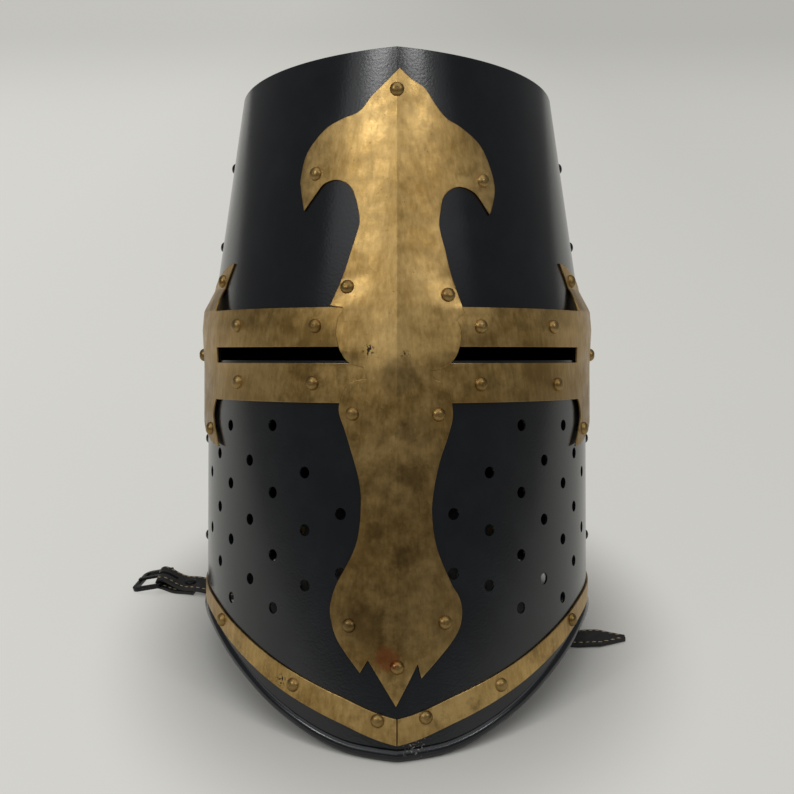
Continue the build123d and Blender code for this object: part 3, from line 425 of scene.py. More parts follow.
def cut_sheet(name, outline, gauge, cell, wrap, windows=(), edge=0.0):
    # brass cut flat to its outline, its edges eased, then laid over the shell by wrap(x, z, t), all in mm
    xs = [p[0] for p in outline]
    ys = [p[1] for p in outline]
    margin = 3.0
    low = (min(xs) - margin, min(ys) - margin)
    high = (max(xs) + margin, max(ys) + margin)
    if low[0] < 0 < high[0]:
        # a folded sheet has a line of points on its fold
        reach = max(-low[0], high[0])
        low, high = (-reach, low[1]), (reach, high[1])
    across = 2 * round((high[0] - low[0]) / cell / 2)
    along = round((high[1] - low[1]) / cell)

    def lay(x, y):
        return (
            (low[0] + (high[0] - low[0]) * (x + 1) / 2) * MM,
            (low[1] + (high[1] - low[1]) * (y + 1) / 2) * MM,
            0,
        )

    obj = grid(name, across, along, lay)
    modify(obj, "SOLIDIFY", thickness=gauge, offset=1)
    cut(obj, prism("outline", [(x * MM, y * MM) for x, y in outline], -5 * MM, 5 * MM), "INTERSECT")
    for window in windows:
        cut(obj, prism("window", [(x * MM, y * MM) for x, y in window], -5 * MM, 5 * MM))
    if edge:
        ease_edges(obj, edge, clamp=False)
    for vertex in obj.data.vertices:
        x, y, t = vertex.co / MM
        vertex.co = wrap(x, y, t)
    weld(obj)
    return obj


def smooth_run(points, count):
    # Catmull-Rom curve through the points of one run of an outline
    if len(points) == 2:
        return [points[0]]
    made = []
    for i in range(len(points) - 1):
        before, here, after = points[max(i - 1, 0)], points[i], points[i + 1]
        beyond = points[min(i + 2, len(points) - 1)]
        for k in range(count):
            t = k / count
            made.append(tuple(
                0.5 * (2 * b + (c - a) * t + (2 * a - 5 * b + 4 * c - d) * t * t
                       + (3 * b - a - 3 * c + d) * t**3)
                for a, b, c, d in zip(before, here, after, beyond)
            ))
    return made


def beaten(x, z, seed):
    # low dents of a planishing hammer, about 14 mm apart
    return noise.noise(Vector((x / 14, z / 14, seed))) * 0.5 + 0.5


def path_through(points, count):
    # interpolating cubic spline by chord length: places and directions
    p = np.array([tuple(v) for v in points])
    n = len(p)
    step = np.linalg.norm(np.diff(p, axis=0), axis=1)
    t = np.concatenate([[0], np.cumsum(step)])
    a = np.zeros((n, n))
    b = np.zeros((n, 3))
    a[0, 0] = a[-1, -1] = 1
    for i in range(1, n - 1):
        a[i, i - 1], a[i, i], a[i, i + 1] = step[i - 1], 2 * (step[i - 1] + step[i]), step[i]
        b[i] = 6 * ((p[i + 1] - p[i]) / step[i] - (p[i] - p[i - 1]) / step[i - 1])
    m = np.linalg.solve(a, b)
    places = []
    for s in np.linspace(0, t[-1], count + 1):
        i = min(max(int(np.searchsorted(t, s, side="right")) - 1, 0), n - 2)
        h, u, w = step[i], t[i + 1] - s, s - t[i]
        place = (
            m[i] * u**3 / (6 * h) + m[i + 1] * w**3 / (6 * h)
            + (p[i] / h - m[i] * h / 6) * u + (p[i + 1] / h - m[i + 1] * h / 6) * w
        )
        heading = (
            -m[i] * u**2 / (2 * h) + m[i + 1] * w**2 / (2 * h)
            - (p[i] / h - m[i] * h / 6) + (p[i + 1] / h - m[i + 1] * h / 6)
        )
        places.append((Vector(place), Vector(heading).normalized()))
    return places, t[-1]


# Single stains and nicks of the brass, and one painted shadow: point of the photograph, reach in millimetres,
# strength, colour, and whether they are broken into specks
STAINS_PX = (
    ((387, 661), 8.0, 0.6, "stain_red", False),
    ((365, 624), 16.0, 0.6, "brass_brown", False),
    ((281, 682), 4.5, 0.95, "buckle_black", True),
    ((369, 350), 4.2, 0.95, "buckle_black", True),
    ((406, 355), 3.0, 0.95, "buckle_black", True),
    # painted shadow: this brown patch lies below the upper boss of the cross
    ((398, 376), 14.0, 0.45, "brass_brown", False),
    ((407, 432), 8.0, 0.5, "brass_brown", False),
    ((410, 475), 9.0, 0.6, "brass_brown", False),
    ((374, 532), 7.0, 0.5, "brass_brown", False),
    ((407, 559), 10.0, 0.5, "brass_brown", False),
)


def per(millimetres):
    # texture scale that gives features of this size
    return 1 / (millimetres * MM)


def add(tree, kind, output=0, **values):
    # one node: lower-case names are its settings, the others its inputs, as values or as links
    node = tree.nodes.new(kind)
    for name, value in values.items():
        if name[0].islower():
            setattr(node, name, value)
    for name, value in values.items():
        if name[0].islower():
            continue
        words = name.replace("_", " ")
        # inputs of a kind that repeats a name are given by number, as A0 or A6
        socket = node.inputs[int(name[1:])] if name[1:].isdigit() else node.inputs[words]
        if isinstance(value, bpy.types.NodeSocket):
            tree.links.new(value, socket)
        else:
            socket.default_value = value
    return None if output is None else node.outputs[output]


def new_material(name):
    material = bpy.data.materials.new(name)
    material.use_nodes = True
    material.node_tree.nodes.clear()
    return material, material.node_tree, add(material.node_tree, "ShaderNodeTexCoord", "Object")


def black_powder_coat(colours):
    # Mild steel under baked powder coat: an even satin black that greys towards grazing light,
    # with a faint orange peel that breaks the highlight into grains
    name = "satin black powder coat"
    if name in bpy.data.materials:
        return bpy.data.materials[name]
    material, tree, place = new_material(name)
    # the peel runs 1.3 mm from crest to crest
    peel = add(tree, "ShaderNodeTexNoise", "Fac", Vector=place, Scale=per(1.3), Detail=1.0)
    uneven = add(tree, "ShaderNodeTexNoise", "Fac", Vector=place, Scale=per(60), Detail=3.0)
    film = add(tree, "ShaderNodeTexNoise", "Fac", Vector=place, Scale=per(22), Detail=5.0, Roughness=0.65)
    dusty = add(tree, "ShaderNodeMapRange", A0=film, From_Min=0.45, From_Max=0.8)
    tip = row(9, -130.6, 9.5)
    away = add(tree, "ShaderNodeVectorMath", "Value", operation="DISTANCE", A0=place, A1=tip)
    near_tip = add(tree, "ShaderNodeMapRange", A0=away, From_Min=3 * MM, From_Max=9 * MM, To_Min=1.0,
                   To_Max=0.0)
    # chips up to 1 mm across, where the tip of the rim has been knocked
    flake = add(tree, "ShaderNodeTexNoise", "Fac", Vector=place, Scale=per(1.3), Detail=2.0)
    chipped = add(tree, "ShaderNodeMapRange", A0=flake, From_Min=0.6, From_Max=0.63)
    chips = add(tree, "ShaderNodeMath", operation="MULTIPLY", A0=near_tip, A1=chipped)
    coat = add(tree, "ShaderNodeMix", 2, data_type="RGBA", A0=dusty, A6=colours.black_coat,
               A7=colours.coat_dust)
    colour = add(tree, "ShaderNodeMix", 2, data_type="RGBA", A0=chips, A6=coat, A7=colours.bare_steel)
    rough = add(tree, "ShaderNodeMapRange", A0=uneven, From_Min=0.3, From_Max=0.7, To_Min=0.16, To_Max=0.22)
    grains = add(tree, "ShaderNodeBump", Height=peel, Distance=0.035 * MM, Strength=1.0)
    surface = add(tree, "ShaderNodeBsdfPrincipled", "BSDF", Base_Color=colour, Metallic=0.0, IOR=1.5,
                  Roughness=rough, Normal=grains)
    add(tree, "ShaderNodeOutputMaterial", None, Surface=surface)
    return material


def aged_brass(colours, name="beaten aged brass", film=0.0):
    # Rolled 70/30 brass, beaten by hand and left to age: soft gold where it is rubbed, painted shade in brown
    # below the eye slits, brown blotches that grow towards the bottom, and single brown and reddish stains
    if name in bpy.data.materials:
        return bpy.data.materials[name]
    material, tree, place = new_material(name)
    broad = add(tree, "ShaderNodeTexNoise", "Fac", Vector=place, Scale=per(45), Detail=3.0)
    mottle = add(tree, "ShaderNodeTexNoise", "Fac", Vector=place, Scale=per(9), Detail=7.0, Roughness=0.7)
    # wiping marks run down the plate, 2 mm apart
    wiped = add(tree, "ShaderNodeMapping", Vector=place, Scale=(1.0, 1.0, 0.12))
    wipes = add(tree, "ShaderNodeTexNoise", "Fac", Vector=wiped, Scale=per(2), Detail=5.0, Roughness=0.6)
    mix_a = add(tree, "ShaderNodeMath", operation="MULTIPLY_ADD", A0=mottle, A1=0.6, A2=broad)
    mix_b = add(tree, "ShaderNodeMath", operation="MULTIPLY_ADD", A0=wipes, A1=0.6, A2=mix_a)
    rubbed = add(tree, "ShaderNodeMapRange", A0=mix_b, From_Min=0.92, From_Max=1.32)
    clean = add(tree, "ShaderNodeMix", 2, data_type="RGBA", A0=rubbed, A6=colours.brass_dull,
                A7=colours.brass_bright)
    parts = add(tree, "ShaderNodeSeparateXYZ", "Z", Vector=place)
    # painted shade: brown laid over the brass below the eye slits, but not on the bands at the foot
    painted_shade_under_slits = add(tree, "ShaderNodeMapRange", A0=parts, From_Min=0.13, From_Max=0.2, To_Min=0.52, To_Max=0.0)
    painted_shade_above_foot = add(tree, "ShaderNodeMapRange", A0=parts, From_Min=0.03, From_Max=0.055)
    painted_low_shade = add(tree, "ShaderNodeMath", operation="MULTIPLY", A0=painted_shade_under_slits, A1=painted_shade_above_foot)
    # the rivets' own dull film and the painted shade below the slits, whichever is stronger
    shade_and_dull_film = add(tree, "ShaderNodeMath", operation="MAXIMUM", A0=painted_low_shade, A1=film)
    base = add(tree, "ShaderNodeMix", 2, data_type="RGBA", A0=shade_and_dull_film, A6=clean, A7=colours.brass_brown)
    low = add(tree, "ShaderNodeMapRange", A0=parts, From_Min=0.02, From_Max=0.17, To_Min=0.7, To_Max=0.1)
    blots = add(tree, "ShaderNodeTexNoise", "Fac", Vector=place, Scale=per(17), Detail=6.0, Roughness=0.75)
    blotted = add(tree, "ShaderNodeMapRange", A0=blots, From_Min=0.5, From_Max=0.72)
    stain = add(tree, "ShaderNodeMath", operation="MULTIPLY", A0=blotted, A1=low)
    stained_and_shaded = add(tree, "ShaderNodeMix", 2, data_type="RGBA", A0=stain, A6=base, A7=colours.brass_brown)
    # single stains and marks: reddish by the lowest rivet, brown along the fold, a painted shadow in brown
    # below the upper boss of the cross, black specks beside a rivet of the band and above the slit
    cloudy = add(tree, "ShaderNodeMath", operation="MULTIPLY_ADD", A0=mottle, A1=12 * MM, A2=-6 * MM)
    specks = add(tree, "ShaderNodeTexNoise", "Fac", Vector=place, Scale=per(1.5), Detail=1.0)
    speckled = add(tree, "ShaderNodeMapRange", A0=specks, From_Min=0.52, From_Max=0.56)
    for point_px, reach, strength, stained, broken in STAINS_PX:
        middle = on_brass(point_px)
        away = add(tree, "ShaderNodeVectorMath", "Value", operation="DISTANCE", A0=place, A1=middle)
        if not broken:
            away = add(tree, "ShaderNodeMath", operation="ADD", A0=away, A1=cloudy)
        inside = add(tree, "ShaderNodeMapRange", interpolation_type="SMOOTHSTEP", A0=away,
                     From_Min=0.35 * reach * MM, From_Max=reach * MM, To_Min=strength, To_Max=0.0)
        if broken:
            inside = add(tree, "ShaderNodeMath", operation="MULTIPLY", A0=inside, A1=speckled)
        stained_and_shaded = add(tree, "ShaderNodeMix", 2, data_type="RGBA", A0=inside, A6=stained_and_shaded,
                   A7=getattr(colours, stained))
    # pits under 1 mm hold brown
    pits = add(tree, "ShaderNodeTexNoise", "Fac", Vector=place, Scale=per(1.1), Detail=2.0)
    pitted = add(tree, "ShaderNodeMapRange", A0=pits, From_Min=0.7, From_Max=0.78, To_Max=0.7)
    colour = add(tree, "ShaderNodeMix", 2, data_type="RGBA", A0=pitted, A6=stained_and_shaded, A7=colours.brass_brown)
    rough = add(tree, "ShaderNodeMapRange", A0=mottle, From_Min=0.38, From_Max=0.64,
                To_Min=0.32, To_Max=0.5)
    dents = add(tree, "ShaderNodeTexNoise", "Fac", Vector=place, Scale=per(11), Detail=1.0)
    beaten_in = add(tree, "ShaderNodeBump", Height=dents, Distance=0.3 * MM, Strength=1.0)
    finer = add(tree, "ShaderNodeBump", Height=mottle, Distance=0.1 * MM, Strength=1.0, Normal=beaten_in)
    pitting = add(tree, "ShaderNodeBump", Height=pitted, Distance=0.04 * MM, Strength=1.0, Normal=finer,
                  invert=True)
    surface = add(tree, "ShaderNodeBsdfPrincipled", "BSDF", Base_Color=colour, Metallic=1.0, Roughness=rough,
                  Normal=pitting)
    add(tree, "ShaderNodeOutputMaterial", None, Surface=surface)
    return material


def dyed_leather(name, colour, worn_colour, grain, rough):
    # Vegetable-tanned cowhide, waxed: pebbled grain and shallow creases that scatter a soft light
    if name in bpy.data.materials:
        return bpy.data.materials[name]
    material, tree, place = new_material(name)
    pebbles = add(tree, "ShaderNodeTexVoronoi", "Distance", feature="SMOOTH_F1", Vector=place,
                  Scale=per(grain), Smoothness=0.6)
    creases = add(tree, "ShaderNodeTexNoise", "Fac", Vector=place, Scale=per(5), Detail=4.0, Roughness=0.6)
    rubs = add(tree, "ShaderNodeTexNoise", "Fac", Vector=place, Scale=per(16), Detail=4.0)
    rubbed = add(tree, "ShaderNodeMapRange", A0=rubs, From_Min=0.45, From_Max=0.75)
    tone = add(tree, "ShaderNodeMix", 2, data_type="RGBA", A0=rubbed, A6=colour, A7=worn_colour)
    matt = add(tree, "ShaderNodeMapRange", A0=creases, From_Min=0.3, From_Max=0.7, To_Min=rough,
               To_Max=rough + 0.12)
    folds = add(tree, "ShaderNodeBump", Height=creases, Distance=0.12 * MM, Strength=1.0)
    grained = add(tree, "ShaderNodeBump", Height=pebbles, Distance=0.08 * MM, Strength=1.0, Normal=folds)
    surface = add(tree, "ShaderNodeBsdfPrincipled", "BSDF", Base_Color=tone, Metallic=0.0, Roughness=matt,
                  Normal=grained)
    add(tree, "ShaderNodeOutputMaterial", None, Surface=surface)
    return material


def waxed_thread(colours):
    # Twisted linen thread, waxed: matt and pale, its twist 0.5 mm long
    name = "waxed linen thread"
    if name in bpy.data.materials:
        return bpy.data.materials[name]
    material, tree, place = new_material(name)
    fibre = add(tree, "ShaderNodeTexNoise", "Fac", Vector=place, Scale=per(0.5), Detail=2.0)
    soiled = add(tree, "ShaderNodeMapRange", A0=fibre, From_Min=0.4, From_Max=0.7, To_Max=0.5)
    colour = add(tree, "ShaderNodeMix", 2, data_type="RGBA", A0=soiled, A6=colours.thread_tan,
                 A7=colours.thread_soiled)
    twist = add(tree, "ShaderNodeBump", Height=fibre, Distance=0.05 * MM, Strength=1.0)
    surface = add(tree, "ShaderNodeBsdfPrincipled", "BSDF", Base_Color=colour, Metallic=0.0, Roughness=0.65,
                  Normal=twist)
    add(tree, "ShaderNodeOutputMaterial", None, Surface=surface)
    return material


def blackened_metal(colours):
    # Japanned zinc casting: thin black lacquer with fine scuffs that let the grey metal through
    name = "blackened buckle metal"
    if name in bpy.data.materials:
        return bpy.data.materials[name]
    material, tree, place = new_material(name)
    scuffs = add(tree, "ShaderNodeTexNoise", "Fac", Vector=place, Scale=per(1.4), Detail=4.0, Roughness=0.7)
    scuffed = add(tree, "ShaderNodeMapRange", A0=scuffs, From_Min=0.58, From_Max=0.72, To_Max=0.4)
    colour = add(tree, "ShaderNodeMix", 2, data_type="RGBA", A0=scuffed, A6=colours.buckle_black,
                 A7=colours.bare_steel)
    cast = add(tree, "ShaderNodeTexNoise", "Fac", Vector=place, Scale=per(4), Detail=3.0)
    rough = add(tree, "ShaderNodeMapRange", A0=cast, From_Min=0.3, From_Max=0.7, To_Min=0.3, To_Max=0.42)
    skin = add(tree, "ShaderNodeBump", Height=cast, Distance=0.04 * MM, Strength=1.0)
    surface = add(tree, "ShaderNodeBsdfPrincipled", "BSDF", Base_Color=colour, Metallic=0.6, Roughness=rough,
                  Normal=skin)
    add(tree, "ShaderNodeOutputMaterial", None, Surface=surface)
    return material


def pale_paper(colours):
    # Matt paper sweep under and behind the helm: round the helm it glows its own pale tone, and that glow
    # carries painted light and painted shade; under the helm it is matt and keeps the shadow at the helm's
    # foot
    name = "pale paper sweep"
    if name in bpy.data.materials:
        return bpy.data.materials[name]
    material, tree, place = new_material(name)
    looked_at = add(tree, "ShaderNodeLightPath", "Is Camera Ray")
    mirrored = add(tree, "ShaderNodeLightPath", "Is Glossy Ray")
    through = add(tree, "ShaderNodeLightPath", "Is Transmission Ray")
    shows = add(tree, "ShaderNodeMath", operation="MAXIMUM", A0=looked_at, A1=mirrored)
    shown = add(tree, "ShaderNodeMath", operation="MAXIMUM", A0=shows, A1=through)
    oval = add(tree, "ShaderNodeMapping", Vector=place, Scale=(1.0, 0.72, 1.0))
    away = add(tree, "ShaderNodeVectorMath", "Value", operation="LENGTH", A0=oval)
    # no glow under the helm, most of it close round it, all of it far away
    near = add(tree, "ShaderNodeMapRange", interpolation_type="SMOOTHSTEP", A0=away, From_Min=0.1,
               From_Max=0.18, To_Min=0.0, To_Max=0.85)
    far = add(tree, "ShaderNodeMapRange", interpolation_type="SMOOTHSTEP", A0=away, From_Min=0.3,
              From_Max=2.2, To_Min=0.0, To_Max=0.15)
    both = add(tree, "ShaderNodeMath", operation="ADD", A0=near, A1=far)
    share = add(tree, "ShaderNodeMath", operation="MULTIPLY", A0=shown, A1=both)
    across = add(tree, "ShaderNodeSeparateXYZ", "X", Vector=place)
    behind = add(tree, "ShaderNodeSeparateXYZ", "Y", Vector=place)
    # painted light: the glow is brighter to the left and dims far behind the helm
    tilt = add(tree, "ShaderNodeMapRange", A0=across, From_Min=-0.5, From_Max=0.5, To_Min=1.0, To_Max=0.84)
    painted_far_falloff = add(tree, "ShaderNodeMapRange", interpolation_type="SMOOTHSTEP", A0=behind, From_Min=0.5,
               From_Max=5.0, To_Min=1.0, To_Max=0.76)
    # painted shade: beside and in front of the helm the sweep's glow falls off to grey, which keeps the black
    # coat dark
    before = add(tree, "ShaderNodeMath", operation="MINIMUM", A0=behind, A1=0.0)
    beyond = add(tree, "ShaderNodeMath", operation="MAXIMUM", A0=behind, A1=0.0)
    flat = add(tree, "ShaderNodeCombineXYZ", "Vector", X=across, Y=before)
    aside = add(tree, "ShaderNodeVectorMath", "Value", operation="LENGTH", A0=flat)
    wedge = add(tree, "ShaderNodeMath", operation="MULTIPLY_ADD", A0=beyond, A1=-1.0, A2=aside)
    painted_front_shade = add(tree, "ShaderNodeMapRange", interpolation_type="SMOOTHSTEP", A0=wedge, From_Min=0.28,
              From_Max=1.3, To_Min=1.0, To_Max=0.36)
    painted_light_tone = add(tree, "ShaderNodeMath", operation="MULTIPLY", A0=tilt, A1=painted_far_falloff)
    level = add(tree, "ShaderNodeMath", operation="MULTIPLY", A0=painted_light_tone, A1=painted_front_shade)
    matt = add(tree, "ShaderNodeBsdfPrincipled", "BSDF", Base_Color=colours.table, Roughness=0.8)
    glow = add(tree, "ShaderNodeEmission", "Emission", Color=colours.table, Strength=level)
    surface = add(tree, "ShaderNodeMixShader", "Shader", Fac=share, A1=matt, A2=glow)
    add(tree, "ShaderNodeOutputMaterial", None, Surface=surface)
    return material


def shell_surface(grow, low_at, high_at, behind=False):
    # place(x, y) over half a shell: in front from seam to seam round the ridge, or behind round the back
    def lay(x, y):
        v = (y + 1) / 2
        z = PLATE_START
        for turn in range(4):
            level = level_at(SHELL, z)
            ridge = ridge_bearing(level, grow)
            if behind:
                seam = bearing_at_y(SHELL, grow, SEAM + SEAM_GAP, z)
                bearing = 90 + (seam - 90) * abs(x)
            else:
                seam = bearing_at_y(SHELL, grow, SEAM, z)
                bearing = ridge + (seam - ridge) * abs(x)
            px, py = wall_point(level, grow, bearing)
            z = low_at(py) + (high_at(py) - low_at(py)) * v
        side = (1 if x > 0 else -1) * (-1 if behind else 1)
        if abs(x) < 1e-6:
            px = 0
        return row(side * px, py, z)
    return lay


def tab_surface(grow, side, low_at, high_at):
    # the lap of a back plate, stepped in under the front one at the seam
    def lay(x, y):
        z = PLATE_START
        for turn in range(3):
            py = side * x * (SEAM + TAB_SHIFT) + TAB_SHIFT
            px = wall_point(level_at(SHELL, z), grow, bearing_at_y(SHELL, grow, py, z))[0]
            z = low_at(py) + (high_at(py) - low_at(py)) * (y + 1) / 2
        return row(side * px, py, z)
    return lay


def rim_edge(y):
    return curve_at(RIM_HEIGHTS, y) + 2 * ROD - ROD_LAP


def surface_at(skin, grow, bearing, height, side):
    here = wall_point(level_at(skin, height), grow, bearing)
    above = wall_point(level_at(skin, height + 1), grow, bearing)
    turn = math.radians(bearing)
    slope = (above[0] - here[0]) * math.cos(turn) + (above[1] - here[1]) * math.sin(turn)
    normal = Vector((side * math.cos(turn), 0, 0)) + AFT * math.sin(turn) - UP * slope
    return row(side * here[0], here[1], height), normal.normalized()


# Breath holes: pixels beside the ridge, and how far down the photograph
BREATH_COLUMNS_PX = {
    57: (514.7, 575),
    93: (473, 531, 587),
    125: (425.5, 493, 556, 609.5),
    148: (460.5, 520, 580),
    167: (425.4, 483.5, 540, 599),
    178: (453.4, 507, 562),
    186: (472, 528),
}


def plate(name, cells, lay, gauge, edge, tabs=()):
    obj = grid(name, 2 * cells, cells, lay)
    strips = [grid("tab", 10, cells // 2, tab) for tab in tabs]
    obj = join([obj] + strips, name)
    modify(obj, "SOLIDIFY", thickness=gauge, offset=-1)
    ease_edges(obj, edge)
    return obj


class HELM_OT_skull_plates(bpy.types.Operator):
    """Bends the two upper plates of the skull and cuts the eye slits"""
    bl_idname = "helm.skull_plates"
    bl_label = "Skull plates"

    def execute(self, context):
        sizes, coat = context.scene.helm_sizes, black_powder_coat(context.scene.helm_colours)
        floor = WAIST[0] - WAIST_LAP

        def low(y):
            return floor

        front = plate("skull_front", sizes.plate_cells, shell_surface(STEEL, low, crown_at),
                      sizes.steel_gauge, sizes.edge_round)
        slit = [(SLIT_NEAR, SLIT_LOW), (SLIT_FAR, SLIT_LOW), (SLIT_FAR, SLIT_HIGH), (SLIT_NEAR, SLIT_HIGH)]
        for side in (-1, 1):
            window = prism("slit", [(side * x, z) for x, z in slit], -SLIT_CUT_REACH, 0.0)
            for vertex in window.data.vertices:
                x, z, y = vertex.co
                vertex.co = row(x, y, z)
            weld(window)
            cut(front, window)
        settle(front, coat, "helm", ["skull_front_plate"])
        flange = CROWN_FLANGE + STEEL + SEAM_GAP
        tabs = [
            tab_surface(0.0, side, lambda y: BACK_TAB_LOW, lambda y: crown_at(y) - flange) for side in (-1, 1)
        ]
        back = plate("skull_back", sizes.plate_cells, shell_surface(STEEL, low, crown_at, True),
                     sizes.steel_gauge, sizes.edge_round, tabs)
        settle(back, coat, "helm", ["skull_back_plate"])
        refined("crown_plate", "crown", coat, "helm", 0.0)
        return {"FINISHED"}


class HELM_OT_face_plates(bpy.types.Operator):
    """Bends the face and nape plates and punches the breath holes"""
    bl_idname = "helm.face_plates"
    bl_label = "Face and nape plates"

    def execute(self, context):
        sizes, coat = context.scene.helm_sizes, black_powder_coat(context.scene.helm_colours)
        top = WAIST[0] - SEAM_GAP

        def high(y):
            return top

        face = plate("face", sizes.plate_cells, shell_surface(0.0, rim_edge, high), sizes.steel_gauge,
                     sizes.edge_round)
        punches = []
        for column, rows in BREATH_COLUMNS_PX.items():
            for level in rows:
                for side in (-1, 1):
                    x, z = seen((CENTRE_PX + side * column, level))
                    place, normal = surface_at(SHELL, 0.0, bearing_at_x(SHELL, 0.0, x, z), z, side)
                    bpy.ops.object.select_all(action="DESELECT")
                    bpy.ops.mesh.primitive_cylinder_add(
                        vertices=28, radius=sizes.breath_radius, depth=8 * MM, location=place,
                        rotation=normal.to_track_quat("Z", "Y").to_euler())
                    punches.append(context.object)
        punch = join(punches, "punch")
        bpy.ops.object.transform_apply(location=True, rotation=True, scale=True)
        cut(face, punch)
        settle(face, coat, "helm", ["face_plate"])
        tabs = [tab_surface(-STEEL, side, rim_edge, lambda y: WAIST[0]) for side in (-1, 1)]
        nape = plate("nape", sizes.plate_cells, shell_surface(0.0, rim_edge, high, True), sizes.steel_gauge,
                     sizes.edge_round, tabs)
        settle(nape, coat, "helm", ["nape_plate"])
        return {"FINISHED"}


def rod_middle(bearing):
    y = wall_point(FOOT, 0, bearing)[1]
    height = curve_at(RIM_HEIGHTS, y) + ROD
    x, y = wall_point(level_at(SHELL, height), ROD_PROUD - ROD, bearing)
    return Vector((x, y, height))


class HELM_OT_rim(bpy.types.Operator):
    """Lays the rod under the lower edge of the plates, in two halves"""
    bl_idname = "helm.rim"
    bl_label = "Rim rod"

    def execute(self, context):
        sizes, coat = context.scene.helm_sizes, black_powder_coat(context.scene.helm_colours)
        ridge = ridge_bearing(FOOT, 0)
        steps = ROD_STEPS
        middles = [Vector((0, REST_FRONT, ROD))]
        middles += [rod_middle(ridge + (90 - ridge) * i / steps) for i in range(1, steps)]
        middles += [Vector((0, REST_BACK, RIM_HEIGHTS[-1] + ROD))]
        for side, word in ((-1, "left"), (1, "right")):
            def lay(x, y):
                i = round((y + 1) / 2 * (steps + 2)) - 1
                radius = sizes.rod_radius / MM if 0 <= i <= steps else 0
                i = min(max(i, 0), steps)
                if i in (0, steps):
                    heading = Vector((1 if i == 0 else -1, 0, 0))
                else:
                    heading = (middles[i + 1] - middles[i - 1]).normalized()
                upward = (Vector((0, 0, 1)) - heading * heading.z).normalized()
                outward = upward.cross(heading)
                turn = math.pi * x
                p = middles[i] + outward * radius * math.cos(turn) + upward * radius * math.sin(turn)
                return row(side * p.x, p.y, p.z)
            obj = grid("rim_" + word, 20, steps + 2, lay)
            weld(obj)
            settle(obj, coat, "helm", ["rim_rod_" + word], 40)
        return {"FINISHED"}


# Outline of the cross in the photograph, a run from corner to corner
CROSS_RUNS_PX = (
    ((400.4, 70), (412, 81), (425, 90), (437, 108), (447, 120), (461, 129), (477, 143),
     (486, 158), (493, 179), (494.6, 195), (490, 216)),
    ((490, 216), (479, 199), (472, 192), (461, 188), (451, 190.5), (444, 198), (441, 211),
     (440, 228), (446, 252), (451, 273), (458, 294), (465, 314)),
    ((465, 314), (456.7, 319)),
    ((456.7, 319), (461, 329), (461, 341), (457, 355), (450, 364), (440, 369), (431, 370)),
    ((431, 370), (436, 380)),
    ((436, 380), (442, 382), (447, 387), (451, 397), (453, 407), (453, 420), (448, 439),
     (441, 460), (436, 482), (433, 504), (433, 518), (435, 536), (440, 556), (452, 584),
     (460, 598), (463, 612), (461, 628), (453, 643), (439, 661), (422, 680.6)),
    ((422, 680.6), (418.4, 666)),
    ((418.4, 666), (408, 687), (396.4, 709.4)),
    ((396.4, 709.4), (383, 687), (368, 662)),
    ((368, 662), (360, 675)),
    ((360, 675), (347, 657), (337, 641), (332, 626), (330, 611), (332, 598), (338, 582),
     (351, 558), (357, 542), (360, 525), (361, 509), (361, 493), (358, 475), (352.5, 455),
     (345, 430), (340, 415), (339.5, 405), (343, 392), (349, 384), (356, 380)),
    ((356, 380), (367, 379)),
    ((367, 379), (364, 367)),
    ((364, 367), (352.7, 364), (345.5, 358.6), (340, 349), (337, 337), (337, 329), (339, 318),
     (345.5, 308)),
    ((345.5, 308), (331, 306)),
    ((331, 306), (339, 287), (346, 269), (352, 250), (359, 228), (360, 219), (358, 206),
     (353, 190.5), (346, 183.5), (336, 181), (325, 185), (317, 195), (305, 212)),
    ((305, 212), (302, 190), (302, 179), (308, 155), (325, 132), (342, 121), (360, 113),
     (372, 98), (386, 84), (400.4, 70)),
)


class HELM_OT_cross(bpy.types.Operator):
    """Cuts the brass cross from sheet, folds it on the ridge and beats it over the eye bars"""
    bl_idname = "helm.cross"
    bl_label = "Brass cross"

    def execute(self, context):
        sizes = context.scene.helm_sizes
        outline = []
        for run in CROSS_RUNS_PX:
            outline += smooth_run([seen(px) for px in run], 6)

        def wrap(x, z, t):
            uneven = sizes.beating / MM * beaten(x, z, 3.0)
            return row(x, -cross_front(x, z, t + uneven), z)

        obj = cut_sheet("cross", outline, sizes.brass_gauge, CROSS_CELL, wrap, edge=sizes.edge_round)
        settle(obj, aged_brass(context.scene.helm_colours), "helm", ["cross_plate"])
        return {"FINISHED"}


# Hooked end of an eye bar: shares of its length and of its half height, outside and in the hollow
HOOK = ((0.1, 0.94), (0.19, 0.9), (0.32, 0.83), (0.49, 0.745), (0.67, 0.61), (0.83, 0.41), (0.94, 0.2))
HOLLOW = ((0.04, 0.86), (0.085, 0.75), (0.103, 0.65), (0.09, 0.55))
BAR_TOP = 223.7
BAR_BOTTOM = 176.3
FLARE_LENGTH = 78.0
FLARE_HALF = 51.0
FLARE_TIP = -60.0
FLARE_CORNER = -56.0
TIP_SHARE = 0.96


def arm_shape():
    # outline of one arm in the side view, as Y and Z, from the ridge over its hooks and back
    halves = []
    for sign, reach in ((1, BAR_TOP - SLIT_MIDDLE), (-1, SLIT_MIDDLE - BAR_BOTTOM)):
        tip = (FLARE_TIP, SLIT_MIDDLE + sign * FLARE_HALF * TIP_SHARE)
        end = (FLARE_TIP + FLARE_LENGTH, SLIT_MIDDLE)
        hook, hollow = [
            [(FLARE_TIP + a * FLARE_LENGTH, SLIT_MIDDLE + sign * b * FLARE_HALF) for a, b in shares]
            for shares in (HOOK, HOLLOW)
        ]
        corner = (FLARE_CORNER, SLIT_MIDDLE + sign * reach)
        halves.append(smooth_run([corner] + hollow[::-1] + [tip], 6) + smooth_run([tip] + hook + [end], 6))
    return halves[0] + [end] + halves[1][::-1]


# Millimetres along the wall for a degree of bearing
ARC_MM = 2.32


def along_wall(bearing, z):
    return (bearing - ridge_bearing(level_at(BAR_SKIN, z), BAR_INNER)) * ARC_MM


